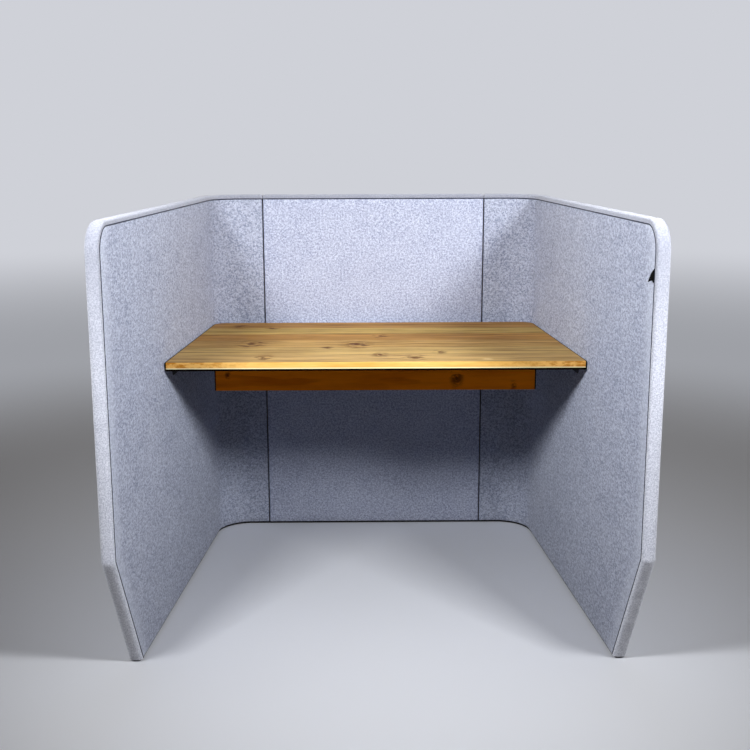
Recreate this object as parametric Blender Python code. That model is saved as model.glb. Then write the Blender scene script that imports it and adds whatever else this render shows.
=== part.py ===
"""Acoustic work booth: two upholstered L-shaped wings, a flat centre panel and a pine desk between them.

Metres, +Z up. The open front faces -Y, the floor is z = 0 and x = 0 is the plane of symmetry.
A wing is described by three numbers: u runs along its inner face from the joint with the centre
panel, round the corner and out to the front edge; w runs through its thickness from the inner
face to the outer one; z is the height.
"""

from math import cos, pi, radians, sin, sqrt, tan

import bmesh
import bpy
from mathutils import Matrix, Vector

# Clearances
FIT = 0.0003
JOINT_GAP = 0.0008

# Panels: plan
CENTRE_WIDTH = 0.751
RETURN_RUN = 0.0628
CORNER_RADIUS = 0.105
WING_RUN = 1.181
WING_SPLAY = radians(4.5)

# Panels: section and outline
CORE_T = 0.018
PAD_T = 0.0095
PANEL_TOP = 1.154
KINK_HEIGHT = 0.350
TOE_SETBACK = 0.193
TOP_RADIUS = 0.060

# Upholstery
PAD_ROLL = 0.026
SEAM_DRAW = 0.0030
STRIP_CROWN = 0.015
STRIP_SIDE = 0.0022
STRIP_INSET = 0.0012
STRIP_SQUARENESS = 2.6

# Base strip on which each panel stands
BASE_T = 0.0055
BASE_INSET = 0.006
BASE_TOE_RADIUS = 0.010

# Levelling glides, stored screwed right into the base strips
GLIDE_LIFT = 0.0005
GLIDE_HEADROOM = 0.0008
GLIDE_PAD_R = 0.0105
GLIDE_FLOOR = 0.0016
STEM_R = 0.004
STEM_L = 0.034
STEM_CHAMFER = 0.0012
INSERT_WALL = 0.0019
INSERT_L = 0.016
TOE_GLIDE_INSET = 0.055
REAR_GLIDE_INSET = 0.070
CENTRE_GLIDE_INSET = 0.085

# Hook connectors in the two joints
PLATE_MARGIN = 0.002
PLATE_END = 0.009
PLATE_T = 0.003
HOOK_PITCH = 0.064
HOOK_H = 0.014
HOOK_DROP = 0.007
HOOK_T = 0.004
HOOK_W = 0.003
PLATE_SCREW_R = 0.002
PLATE_SCREW_L = 0.022
PLATE_SCREW_PITCH = 0.022
CONNECTOR_RISE = 0.194
CONNECTOR_DROP = 0.194

# Desk
DESK_HEIGHT = 0.740
DESK_T = 0.025
DESK_DEPTH = 0.702
DESK_REAR_GAP = 0.060
DESK_END_GAP = 0.002
DESK_REAR_RADIUS = 0.040
DESK_FRONT_RADIUS = 0.006
DESK_ROUND = 0.0022

# Rail under the desk
RAIL_T = 0.022
RAIL_H = 0.096
RAIL_SETBACK = 0.180
RAIL_END_GAP = 0.103
RAIL_ROUND = 0.002
RAIL_SCREW_INSET = 0.095
RAIL_COUNTERBORE = 0.058

# Angle cleats that carry the desk on the wings
CLEAT_LEG = 0.030
CLEAT_T = 0.003
CLEAT_FRONT_SETBACK = 0.093
CLEAT_REAR_SETBACK = 0.105
CLEAT_CORNER = 0.005
WALL_SCREW_INSET = 0.050
DESK_SCREW_INSET = 0.105

# Screws of the desk
CORE_BITE = 0.0146
DESK_BITE = 0.0144
SCREW_R = 0.0025
SCREW_HEAD_R = 0.005
SCREW_HEAD_T = 0.0026
SCREW_POINT = 0.004

# Plain tab sewn into the front seam of the right wing
TAG_DROP = 0.096
TAG_H = 0.036
TAG_REACH = 0.015
TAG_T = 0.0008
TAG_LEAN = radians(40)

# How finely round stretches are drawn
CORNER_STEPS = 10
TOP_STEPS = 6
TOE_STEPS = 4
STRIP_STEPS = 12
LATHE_STEPS = 20
SCREW_STEPS = 12
DESK_FRONT_STEPS = 3
DESK_REAR_STEPS = 8
SMOOTH_BELOW = radians(40)

# Derived sizes
THICKNESS = CORE_T + 2 * PAD_T + 2 * FIT
MID_W = THICKNESS / 2
PANEL_BOTTOM = BASE_T + FIT
GLIDE_TOP = BASE_T - GLIDE_HEADROOM
STEM_LOW = GLIDE_LIFT + GLIDE_FLOOR + FIT
INSERT_R = STEM_R + FIT + INSERT_WALL
PLATE_W = CORE_T - 2 * PLATE_MARGIN
PLATE_H = HOOK_PITCH + HOOK_H + 2 * HOOK_DROP + 2 * PLATE_END
TURN = pi / 2 - WING_SPLAY
CORNER_REACH = CORNER_RADIUS * tan(TURN / 2)
ARC_END = RETURN_RUN + CORNER_RADIUS * TURN
WING_END = ARC_END + WING_RUN
RETURN_X = CENTRE_WIDTH / 2 + JOINT_GAP
ARC_X = RETURN_X + RETURN_RUN
HALF_BACK = ARC_X + CORNER_REACH
WING_LENGTH = CORNER_REACH + WING_RUN
DEPTH = THICKNESS + (WING_LENGTH + STRIP_CROWN) * cos(WING_SPLAY) - MID_W * sin(WING_SPLAY)
BACK_Y = DEPTH / 2 - THICKNESS
DESK_REAR_Y = BACK_Y - DESK_REAR_GAP
DESK_FRONT_Y = DESK_REAR_Y - DESK_DEPTH
DESK_UNDER = DESK_HEIGHT - DESK_T
WALL_SCREW_L = CLEAT_T + PAD_T + 3 * FIT + CORE_BITE
DESK_SCREW_L = CLEAT_T + 2 * FIT + DESK_BITE
RAIL_SCREW_L = RAIL_H - RAIL_COUNTERBORE + FIT + DESK_BITE
SIDES = {"left": -1, "right": 1}


# Helpers: materials and objects

def material(name, colour, roughness, metallic=0.0):
    made = bpy.data.materials.new(name)
    made.use_nodes = True
    shader = made.node_tree.nodes["Principled BSDF"]
    shader.inputs["Base Color"].default_value = (*colour, 1.0)
    shader.inputs["Roughness"].default_value = roughness
    shader.inputs["Metallic"].default_value = metallic
    return made


def add_object(name, bm, finish, smooth=False):
    """Turn a closed bmesh into a named object with its faces turned outwards."""
    bmesh.ops.recalc_face_normals(bm, faces=bm.faces)
    mesh = bpy.data.meshes.new(name)
    bm.to_mesh(mesh)
    bm.free()
    mesh.materials.append(finish)
    if smooth:
        mesh.shade_smooth()
        mesh.set_sharp_from_angle(angle=SMOOTH_BELOW)
    made = bpy.data.objects.new(name, mesh)
    bpy.context.collection.objects.link(made)
    return made


def place(made, position, turn=(0.0, 0.0, 0.0)):
    made.location = position
    made.rotation_euler = turn
    return made


def cut(target, cutters):
    """Take the cutter bodies, given in world space, away from the target."""
    joined = bmesh.new()
    for body in cutters:
        bmesh.ops.recalc_face_normals(body, faces=body.faces)
        spare = bpy.data.meshes.new("cutter_body")
        body.to_mesh(spare)
        body.free()
        joined.from_mesh(spare)
        bpy.data.meshes.remove(spare)
    mesh = bpy.data.meshes.new(target.name + "_cutter")
    joined.to_mesh(mesh)
    joined.free()
    tool = bpy.data.objects.new(target.name + "_cutter", mesh)
    bpy.context.collection.objects.link(tool)
    tool.hide_render = True
    tool.display_type = "WIRE"
    modifier = target.modifiers.new("bores", "BOOLEAN")
    modifier.operation = "DIFFERENCE"
    modifier.solver = "EXACT"
    modifier.use_self = True
    modifier.object = tool


def join(target, bodies):
    """Make overlapping bodies, given as helper objects, one with the target."""
    for body in bodies:
        body.hide_render = True
        body.display_type = "WIRE"
        modifier = target.modifiers.new("join", "BOOLEAN")
        modifier.operation = "UNION"
        modifier.solver = "EXACT"
        modifier.object = body
    return target


# Helpers: closed bodies

def ring_body(rings):
    """Skin a list of equal closed rings and cap both ends."""
    bm = bmesh.new()
    loops = [[bm.verts.new(p) for p in ring] for ring in rings]
    count = len(loops[0])
    for near, far in zip(loops, loops[1:]):
        for i in range(count):
            j = (i + 1) % count
            bm.faces.new((near[i], near[j], far[j], far[i]))
    bm.faces.new(loops[0])
    bm.faces.new(loops[-1])
    return bm


def grid_body(face, back):
    """Close two grids of points, equal in rows and columns, into one body."""
    bm = bmesh.new()
    layers = [[[bm.verts.new(p) for p in row] for row in grid] for grid in (face, back)]
    rows = len(face)
    columns = len(face[0])
    for layer in layers:
        for r in range(rows - 1):
            for c in range(columns - 1):
                bm.faces.new((layer[r][c], layer[r][c + 1], layer[r + 1][c + 1], layer[r + 1][c]))
    rim = [(0, c) for c in range(columns)]
    rim += [(r, columns - 1) for r in range(1, rows)]
    rim += [(rows - 1, c) for c in range(columns - 2, -1, -1)]
    rim += [(r, 0) for r in range(rows - 2, 0, -1)]
    for (r0, c0), (r1, c1) in zip(rim, rim[1:] + rim[:1]):
        bm.faces.new((layers[0][r0][c0], layers[0][r1][c1], layers[1][r1][c1], layers[1][r0][c0]))
    return bm


def prism(outline, low, high):
    """Raise a flat outline of (x, y) points between two heights."""
    return ring_body([[Vector((x, y, z)) for x, y in outline] for z in (low, high)])


def box(low, high):
    """An upright block between two opposite corners."""
    outline = [(low[0], low[1]), (high[0], low[1]), (high[0], high[1]), (low[0], high[1])]
    return prism(outline, low[2], high[2])


def lathe(profile, steps=LATHE_STEPS):
    """Turn a profile of (radius, height) points round the z axis."""
    rings = []
    for radius, height in profile:
        turns = [2 * pi * i / steps for i in range(steps)]
        rings.append([Vector((radius * cos(a), radius * sin(a), height)) for a in turns])
    return ring_body(rings)


def tube_wall(profile, steps=LATHE_STEPS):
    """Turn a closed profile of (radius, height) points round z: a tube with a bore."""
    bm = bmesh.new()
    loops = []
    for i in range(steps):
        a = 2 * pi * i / steps
        loops.append([bm.verts.new((r * cos(a), r * sin(a), z)) for r, z in profile])
    count = len(profile)
    for near, far in zip(loops, loops[1:] + loops[:1]):
        for i in range(count):
            j = (i + 1) % count
            bm.faces.new((near[i], near[j], far[j], far[i]))
    return bm


def moved(bm, matrix):
    bmesh.ops.transform(bm, matrix=matrix, verts=bm.verts)
    return bm


def arc(centre, radius, start, end, steps):
    """Points of a circular arc in the plane, both ends included."""
    angles = [start + (end - start) * i / steps for i in range(steps + 1)]
    return [(centre[0] + radius * cos(a), centre[1] + radius * sin(a)) for a in angles]


def rounded_corner(before, corner, after, radius, steps):
    """The arc that replaces a corner between two straight sides."""
    to_before = (Vector(before) - Vector(corner)).normalized()
    to_after = (Vector(after) - Vector(corner)).normalized()
    half = to_before.angle(to_after) / 2
    reach = radius / tan(half)
    centre = Vector(corner) + (to_before + to_after).normalized() * (radius / sin(half))
    first = Vector(corner) + to_before * reach - centre
    last = Vector(corner) + to_after * reach - centre
    sweep = first.angle_signed(last)
    points = []
    for i in range(steps + 1):
        points.append(centre + Matrix.Rotation(-sweep * i / steps, 2) @ first)
    return [(p.x, p.y) for p in points]


# The wing's own coordinates

def wing_point(side, u, w, z):
    """Where the point (u, w, z) of a wing lies in the booth."""
    if u < RETURN_RUN:
        x = RETURN_X + u
        y = w
    elif u < ARC_END:
        a = (u - RETURN_RUN) / CORNER_RADIUS
        x = ARC_X + (CORNER_RADIUS + w) * sin(a)
        y = (CORNER_RADIUS + w) * cos(a) - CORNER_RADIUS
    else:
        run = u - ARC_END
        x = ARC_X + (CORNER_RADIUS + w) * sin(TURN) + run * cos(TURN)
        y = (CORNER_RADIUS + w) * cos(TURN) - CORNER_RADIUS - run * sin(TURN)
    return Vector((side * x, BACK_Y + y, z))


def front_u(z):
    """Where a wing ends at height z: slanted toe, upright front edge, round top corner."""
    if z < KINK_HEIGHT:
        return WING_END - TOE_SETBACK * (KINK_HEIGHT - z) / (KINK_HEIGHT - PANEL_BOTTOM)
    rise = max(z - (PANEL_TOP - TOP_RADIUS), 0.0)
    return WING_END - TOP_RADIUS + sqrt(max(TOP_RADIUS**2 - rise**2, 0.0))


def u_at_depth(y):
    """Path length of the wing's straight part at the depth y of the booth."""
    return ARC_END + (BACK_Y - y) / cos(WING_SPLAY) - CORNER_REACH


def inner_x(y):
    """Half the clear width between the straight parts of the wings at the depth y."""
    return HALF_BACK + (BACK_Y - y) * tan(WING_SPLAY)


def wall_turn(side):
    """Turn about z that lays a piece's x along the wing and its y into the wing's thickness."""
    return -side * TURN


CORNER_STATIONS = [RETURN_RUN + CORNER_RADIUS * TURN * i / CORNER_STEPS for i in range(CORNER_STEPS + 1)]
TOP_ROWS = [PANEL_TOP - TOP_RADIUS * (1 - sin(pi / 2 * i / TOP_STEPS)) for i in range(TOP_STEPS + 1)]
ROLL_INSETS = [PAD_ROLL * share for share in (0.0, 0.08, 0.25, 0.55, 1.0)]


def drawn_in(distance):
    """How far a padded face falls back at this distance from its sewn edge."""
    left = 1 - min(max(distance, 0.0) / PAD_ROLL, 1.0)
    return SEAM_DRAW * (1 - sqrt(1 - left**2))


# Upholstered panels

def wing_grid(side, insets, depth_at):
    """Grid over a wing's outline; depth_at gives w from the distance to the nearest edge."""
    rows = [PANEL_BOTTOM + i for i in insets] + [KINK_HEIGHT] + TOP_ROWS
    columns = [(0, i) for i in insets] + [(0, u) for u in CORNER_STATIONS]
    columns += [(1, -i) for i in reversed(insets)]
    grid = []
    for z in rows:
        end = front_u(z)
        row = []
        for anchor, offset in columns:
            u = anchor * end + offset
            distance = min(u, end - u, z - PANEL_BOTTOM, PANEL_TOP - z)
            row.append(wing_point(side, u, depth_at(distance), z))
        grid.append(row)
    return grid


def centre_grid(insets, depth_at):
    """Grid over the flat centre panel, built like a wing's."""
    half = CENTRE_WIDTH / 2
    xs = [i - half for i in insets] + [half - i for i in reversed(insets)]
    rows = [PANEL_BOTTOM + i for i in insets] + [PANEL_TOP - i for i in reversed(insets)]
    grid = []
    for z in rows:
        row = []
        for x in xs:
            distance = min(half - abs(x), z - PANEL_BOTTOM, PANEL_TOP - z)
            row.append(Vector((x, BACK_Y + depth_at(distance), z)))
        grid.append(row)
    return grid


def build_layers(prefix, grid, finishes):
    """Core board, inner pad and outer pad of one panel."""
    core_in = PAD_T + FIT
    core_out = core_in + CORE_T
    pad_out = core_out + FIT
    core = grid_body(grid([0.0], lambda d: core_in), grid([0.0], lambda d: core_out))
    inner = grid_body(grid(ROLL_INSETS, drawn_in), grid(ROLL_INSETS, lambda d: PAD_T))
    outer = grid_body(
        grid(ROLL_INSETS, lambda d: THICKNESS - drawn_in(d)),
        grid(ROLL_INSETS, lambda d: pad_out),
    )
    return (
        add_object(prefix + "_core", core, finishes["plywood"]),
        add_object(prefix + "_inner_pad", inner, finishes["felt"], smooth=True),
        add_object(prefix + "_outer_pad", outer, finishes["felt"], smooth=True),
    )


def strip_section():
    """Half-round section of the edge strip as (w, height above the core edge) points."""
    half = MID_W - STRIP_INSET
    power = 2 / STRIP_SQUARENESS
    section = [(MID_W - half, 0.0)]
    for i in range(STRIP_STEPS + 1):
        a = pi * i / STRIP_STEPS
        across = abs(cos(a)) ** power
        w = MID_W - half * (across if a < pi / 2 else -across)
        section.append((w, STRIP_SIDE + (STRIP_CROWN - STRIP_SIDE) * abs(sin(a)) ** power))
    section.append((MID_W + half, 0.0))
    return section


def strip_path():
    """Stations (u, z, outward u, outward z) of the strip from the joint to the toe."""
    path = [(0.0, PANEL_TOP, 0.0, 1.0)]
    path += [(u, PANEL_TOP, 0.0, 1.0) for u in CORNER_STATIONS]
    for i in range(2 * TOP_STEPS + 1):
        a = pi / 2 * i / (2 * TOP_STEPS)
        u = WING_END - TOP_RADIUS + TOP_RADIUS * sin(a)
        path.append((u, PANEL_TOP - TOP_RADIUS + TOP_RADIUS * cos(a), sin(a), cos(a)))
    slant = Vector((KINK_HEIGHT - PANEL_BOTTOM, -TOE_SETBACK)).normalized()
    mitre = (Vector((1.0, 0.0)) + slant) / (1 + slant.x)
    path.append((WING_END, KINK_HEIGHT, mitre.x, mitre.y))
    path.append((front_u(PANEL_BOTTOM), PANEL_BOTTOM, 1 / slant.x, 0.0))
    return path


def build_wing_strip(prefix, side, finishes):
    section = strip_section()
    rings = []
    for u, z, out_u, out_z in strip_path():
        ring = []
        for w, height in section:
            rise = FIT + height
            ring.append(wing_point(side, u + out_u * rise, w, z + out_z * rise))
        rings.append(ring)
    return add_object(prefix + "_edge_strip", ring_body(rings), finishes["felt"], smooth=True)


def build_centre_strip(finishes):
    rings = []
    for x in (-CENTRE_WIDTH / 2, CENTRE_WIDTH / 2):
        rings.append([Vector((x, BACK_Y + w, PANEL_TOP + FIT + h)) for w, h in strip_section()])
    return add_object("centre_edge_strip", ring_body(rings), finishes["felt"], smooth=True)


def build_wing_base(prefix, side, finishes):
    """Strip that closes the underside of a wing and stands on the floor, with a rounded toe."""
    toe = front_u(PANEL_BOTTOM) + STRIP_CROWN - BASE_INSET
    near = BASE_INSET
    far = THICKNESS - BASE_INSET
    outline = [(0.0, near)] + [(u, near) for u in CORNER_STATIONS]
    corner = BASE_TOE_RADIUS
    outline += arc((toe - corner, near + corner), corner, -pi / 2, 0.0, TOE_STEPS)
    outline += arc((toe - corner, far - corner), corner, 0.0, pi / 2, TOE_STEPS)
    outline += [(u, far) for u in reversed(CORNER_STATIONS)] + [(0.0, far)]
    rings = []
    for z in (0.0, BASE_T):
        rings.append([wing_point(side, u, w, z) for u, w in outline])
    return add_object(prefix + "_base_strip", ring_body(rings), finishes["base"])


def build_centre_base(finishes):
    half = CENTRE_WIDTH / 2
    low = (-half, BACK_Y + BASE_INSET, 0.0)
    high = (half, BACK_Y + THICKNESS - BASE_INSET, BASE_T)
    return add_object("centre_base_strip", box(low, high), finishes["base"])


# Levelling glides

def glide_spots():
    """Name and panel of each glide, with its place under the middle of the core."""
    spots = []
    toe_u = front_u(PANEL_BOTTOM) - TOE_GLIDE_INSET
    for name, side in SIDES.items():
        panel = name + "_wing"
        spots.append((name + "_toe", panel, wing_point(side, toe_u, MID_W, 0.0)))
        spots.append((name + "_rear", panel, wing_point(side, ARC_END + REAR_GLIDE_INSET, MID_W, 0.0)))
    for name, side in SIDES.items():
        x = side * (CENTRE_WIDTH / 2 - CENTRE_GLIDE_INSET)
        spots.append(("centre_" + name, "centre", Vector((x, BACK_Y + MID_W, 0.0))))
    return spots


def build_glide(name, spot, finishes):
    """Threaded insert, turning stem and swivel pad of one levelling glide."""
    bore = STEM_R + FIT
    top = PANEL_BOTTOM + INSERT_L
    insert = tube_wall([(bore, PANEL_BOTTOM), (INSERT_R, PANEL_BOTTOM), (INSERT_R, top), (bore, top)])
    place(add_object(name + "_glide_insert", insert, finishes["brass"], smooth=True), spot)
    chamfer = GLIDE_FLOOR / 2
    pad = lathe([
        (GLIDE_PAD_R - chamfer, GLIDE_LIFT),
        (GLIDE_PAD_R, GLIDE_LIFT + chamfer),
        (GLIDE_PAD_R, GLIDE_TOP),
        (bore, GLIDE_TOP),
        (bore, GLIDE_LIFT + GLIDE_FLOOR),
    ])
    pad_object = place(add_object(name + "_glide_pad", pad, finishes["glide"], smooth=True), spot)
    flat = STEM_R - STEM_CHAMFER
    stem = lathe([
        (flat, STEM_LOW),
        (STEM_R, STEM_LOW + STEM_CHAMFER),
        (STEM_R, STEM_LOW + STEM_L - STEM_CHAMFER),
        (flat, STEM_LOW + STEM_L),
    ])
    stem_object = add_object(name + "_glide_stem", stem, finishes["zinc"], smooth=True)
    stem_object.parent = pad_object


def glide_core_bore(spot):
    """Seat of the insert in the core's lower edge, with room above for the stem."""
    seat = INSERT_R + FIT
    top = PANEL_BOTTOM + INSERT_L + FIT
    room = STEM_R + 2 * FIT
    end = STEM_LOW + STEM_L + FIT
    below = PANEL_BOTTOM - INSERT_L
    profile = [(seat, below), (seat, top), (room, top), (room, max(end, top + FIT))]
    return moved(lathe(profile), Matrix.Translation(spot))


def glide_base_bore(spot):
    radius = GLIDE_PAD_R + 2 * FIT
    hole = lathe([(radius, -PANEL_BOTTOM), (radius, 2 * PANEL_BOTTOM)])
    return moved(hole, Matrix.Translation(spot))


# Hook connectors in the joints

def connector_levels():
    return {"lower": PANEL_BOTTOM + CONNECTOR_RISE, "upper": PANEL_TOP - CONNECTOR_DROP}


def hook_centres(level):
    return [level - HOOK_PITCH / 2, level + HOOK_PITCH / 2]


def joint_frame(side):
    """Axes of a joint: x out along the wing's return from the core edge, y into the thickness."""
    flip = Matrix.Diagonal((side, 1.0, 1.0, 1.0))
    return Matrix.Translation((0.0, BACK_Y + MID_W, 0.0)) @ flip @ Matrix.Translation((RETURN_X, 0.0, 0.0))


def plate_block(start, level, grow):
    """Connector plate as a block from start along x, grown all round by a clearance."""
    half_w = PLATE_W / 2 + grow
    half_h = PLATE_H / 2 + grow
    return box((start - grow, -half_w, level - half_h), (start + PLATE_T + grow, half_w, level + half_h))


def plate_screw(start, direction, z, grow):
    """Shank of a plate screw along x, starting inside the plate."""
    shank = lathe([
        (PLATE_SCREW_R + grow, -PLATE_T / 2),
        (PLATE_SCREW_R + grow, PLATE_SCREW_L - SCREW_POINT),
        (PLATE_SCREW_R / 3 + grow, PLATE_SCREW_L + grow),
    ])
    turn = Matrix.Rotation(direction * pi / 2, 4, "Y")
    return moved(shank, Matrix.Translation((start, 0.0, z)) @ turn)


def screw_levels(level):
    return [level - PLATE_SCREW_PITCH / 2, level + PLATE_SCREW_PITCH / 2]


def hook(level):
    """Neck that crosses the joint and a nose that hangs behind the slotted plate."""
    reach = JOINT_GAP + PLATE_T + FIT
    tip = reach + HOOK_T
    root = PLATE_T / 2
    low = -HOOK_H / 2
    high = HOOK_H / 2
    side_view = [
        (root, low), (-reach, low), (-reach, low - HOOK_DROP), (-tip + HOOK_T / 3, low - HOOK_DROP),
        (-tip, low - HOOK_DROP + HOOK_T / 3), (-tip, high - HOOK_T / 2), (-tip + HOOK_T / 2, high),
        (root, high),
    ]
    half = HOOK_W / 2
    return ring_body([[Vector((x, y, level + z)) for x, z in side_view] for y in (-half, half)])


def hook_pocket(level):
    """Space behind the slotted plate in which a hook drops into place."""
    reach = 2 * JOINT_GAP + PLATE_T + HOOK_T + 4 * FIT
    half = HOOK_W / 2 + 2 * FIT
    low = level - HOOK_H / 2 - HOOK_DROP - 2 * FIT
    high = level + HOOK_H / 2 + HOOK_DROP + 2 * FIT
    return box((-reach, -half, low), (JOINT_GAP, half, high))


def hook_slot(level):
    half = HOOK_W / 2 + FIT
    low = level - HOOK_H / 2 - FIT
    high = level + HOOK_H / 2 + HOOK_DROP + 2 * FIT
    return box((-2 * PLATE_T - JOINT_GAP, -half, low), (PLATE_T, half, high))


def union_of(name, bodies, finish, side):
    """Join overlapping bodies of one piece, given in the joint's axes."""
    made = []
    for index, body in enumerate(bodies):
        label = name if index == 0 else f"{name}_joined_{index}"
        made.append(add_object(label, moved(body, joint_frame(side)), finish))
    return join(made[0], made[1:])


def build_connector(name, side, label, level, finishes):
    """One hook plate in the wing's edge and one slotted plate in the centre panel's edge."""
    screws = [plate_screw(PLATE_T / 2, 1, z, 0.0) for z in screw_levels(level)]
    hooks = [hook(z) for z in hook_centres(level)]
    hook_bodies = [plate_block(0.0, level, 0.0)] + hooks + screws
    union_of(f"{name}_{label}_hook_plate", hook_bodies, finishes["zinc"], side)
    start = -JOINT_GAP - PLATE_T
    screws = [plate_screw(start + PLATE_T / 2, -1, z, 0.0) for z in screw_levels(level)]
    slotted = union_of(
        f"{name}_{label}_slot_plate", [plate_block(start, level, 0.0)] + screws, finishes["zinc"], side
    )
    slots = [moved(hook_slot(z), joint_frame(side)) for z in hook_centres(level)]
    cut(slotted, slots)


def connector_wing_cuts(side):
    """Seats of the hook plates and their screws in the edge of a wing's core."""
    cuts = []
    for level in connector_levels().values():
        cuts.append(plate_block(0.0, level, FIT))
        cuts += [plate_screw(PLATE_T / 2, 1, z, FIT) for z in screw_levels(level)]
    return [moved(body, joint_frame(side)) for body in cuts]


def connector_centre_cuts(side):
    """Seats of the slotted plates and the pockets for the hooks in the centre core."""
    start = -JOINT_GAP - PLATE_T
    cuts = []
    for level in connector_levels().values():
        cuts.append(plate_block(start, level, FIT))
        cuts += [plate_screw(start + PLATE_T / 2, -1, z, FIT) for z in screw_levels(level)]
        cuts += [hook_pocket(z) for z in hook_centres(level)]
    return [moved(body, joint_frame(side)) for body in cuts]


# Desk

def desk_outline():
    """Plan of the desktop: ends follow the wings, and rounded rear corners stay clear of the round panel corners."""
    end = DESK_END_GAP / cos(WING_SPLAY)
    front = inner_x(DESK_FRONT_Y) - end
    rear = inner_x(DESK_REAR_Y) - end
    corners = [
        ((-front, DESK_FRONT_Y), DESK_FRONT_RADIUS, DESK_FRONT_STEPS),
        ((front, DESK_FRONT_Y), DESK_FRONT_RADIUS, DESK_FRONT_STEPS),
        ((rear, DESK_REAR_Y), DESK_REAR_RADIUS, DESK_REAR_STEPS),
        ((-rear, DESK_REAR_Y), DESK_REAR_RADIUS, DESK_REAR_STEPS),
    ]
    outline = []
    for i, (corner, radius, steps) in enumerate(corners):
        before = corners[i - 1][0]
        after = corners[(i + 1) % len(corners)][0]
        outline += rounded_corner(before, corner, after, radius, steps)
    return outline


def soften(made, width, segments):
    modifier = made.modifiers.new("rounded_edges", "BEVEL")
    modifier.width = width
    modifier.segments = segments
    modifier.limit_method = "ANGLE"
    modifier.angle_limit = SMOOTH_BELOW


def build_desktop(finishes):
    made = add_object("desktop", prism(desk_outline(), DESK_UNDER, DESK_HEIGHT), finishes["pine"])
    soften(made, DESK_ROUND, 2)
    return made


def rail_span():
    """Front and rear y of the rail and half its length."""
    front = DESK_FRONT_Y + RAIL_SETBACK
    return front, front + RAIL_T, inner_x(front) - RAIL_END_GAP


def build_rail(finishes):
    front, rear, half = rail_span()
    top = DESK_UNDER - FIT
    made = add_object("desk_rail", box((-half, front, top - RAIL_H), (half, rear, top)), finishes["pine"])
    soften(made, RAIL_ROUND, 2)
    return made


def screw_body(length):
    """Pan-head screw along z, its head below z = 0 and its point at z = length."""
    return lathe([
        (SCREW_HEAD_R * 0.7, -SCREW_HEAD_T),
        (SCREW_HEAD_R, -SCREW_HEAD_T * 0.45),
        (SCREW_HEAD_R, 0.0),
        (SCREW_R, 0.0),
        (SCREW_R, length - SCREW_POINT),
        (SCREW_R / 5, length),
    ], SCREW_STEPS)


def screw_hole(length, head_r=0.0, head_depth=0.0):
    """Hole for a screw's shank, begun below its head, with room for the head where one is sunk."""
    radius = SCREW_R + FIT
    mouth = [(radius, -SCREW_HEAD_T)]
    if head_r:
        mouth = [(head_r, -head_depth), (head_r, 0.0), (radius, 0.0)]
    return lathe(mouth + [(radius, length - SCREW_POINT), (SCREW_R / 5 + FIT, length + FIT)], SCREW_STEPS)


def rail_screw_spots():
    front, rear, half = rail_span()
    span = half - RAIL_SCREW_INSET
    head = DESK_UNDER - FIT - RAIL_H + RAIL_COUNTERBORE
    return [Vector((x, (front + rear) / 2, head)) for x in (-span, 0.0, span)]


def cleat_mid_u():
    front = u_at_depth(DESK_FRONT_Y + CLEAT_FRONT_SETBACK)
    rear = u_at_depth(DESK_REAR_Y - CLEAT_REAR_SETBACK)
    return (front + rear) / 2, front - rear


def build_cleat(name, side, finishes):
    """Steel angle: one leg on the wing's inner face, one leg under the desktop."""
    mid, length = cleat_mid_u()
    half = length / 2
    wall = ring_body([
        [Vector((x, y, z)) for x, z in (
            (-half, 0.0), (half, 0.0), (half, CLEAT_CORNER - CLEAT_LEG),
            (half - CLEAT_CORNER, -CLEAT_LEG), (CLEAT_CORNER - half, -CLEAT_LEG),
            (-half, CLEAT_CORNER - CLEAT_LEG),
        )] for y in (-CLEAT_T, 0.0)
    ])
    shelf = prism([
        (-half, -CLEAT_T / 2), (half, -CLEAT_T / 2), (half, CLEAT_CORNER - CLEAT_LEG),
        (half - CLEAT_CORNER, -CLEAT_LEG), (CLEAT_CORNER - half, -CLEAT_LEG),
        (-half, CLEAT_CORNER - CLEAT_LEG),
    ], -CLEAT_T, 0.0)
    spot = wing_point(side, mid, -FIT, DESK_UNDER - FIT)
    turn = (0.0, 0.0, wall_turn(side))
    made = place(add_object(name + "_cleat", wall, finishes["steel"]), spot, turn)
    leg = place(add_object(name + "_cleat_shelf", shelf, finishes["steel"]), spot, turn)
    return join(made, [leg])


def wall_screws(side):
    """Places of the screws that hold a cleat to the wing's core, heads on the upright leg."""
    mid, length = cleat_mid_u()
    reach = length / 2 - WALL_SCREW_INSET
    z = DESK_UNDER - FIT - (CLEAT_LEG + CLEAT_T) / 2
    frames = []
    for u in (mid + reach, mid - reach):
        spot = wing_point(side, u, -2 * FIT - CLEAT_T, z)
        turn = Matrix.Rotation(wall_turn(side), 4, "Z") @ Matrix.Rotation(-pi / 2, 4, "X")
        frames.append(Matrix.Translation(spot) @ turn)
    return frames


def desk_screws(side):
    """Places of the screws that hold the desktop to a cleat, heads under the level leg."""
    mid, length = cleat_mid_u()
    reach = length / 2 - DESK_SCREW_INSET
    frames = []
    for u in (mid + reach, mid - reach):
        spot = wing_point(side, u, -FIT - (CLEAT_LEG + CLEAT_T) / 2, DESK_UNDER - 2 * FIT - CLEAT_T)
        frames.append(Matrix.Translation(spot))
    return frames


def add_screw(name, frame, length, finishes):
    made = add_object(name, screw_body(length), finishes["zinc"], smooth=True)
    return place(made, frame.to_translation(), frame.to_euler())


# Seam tab

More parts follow.
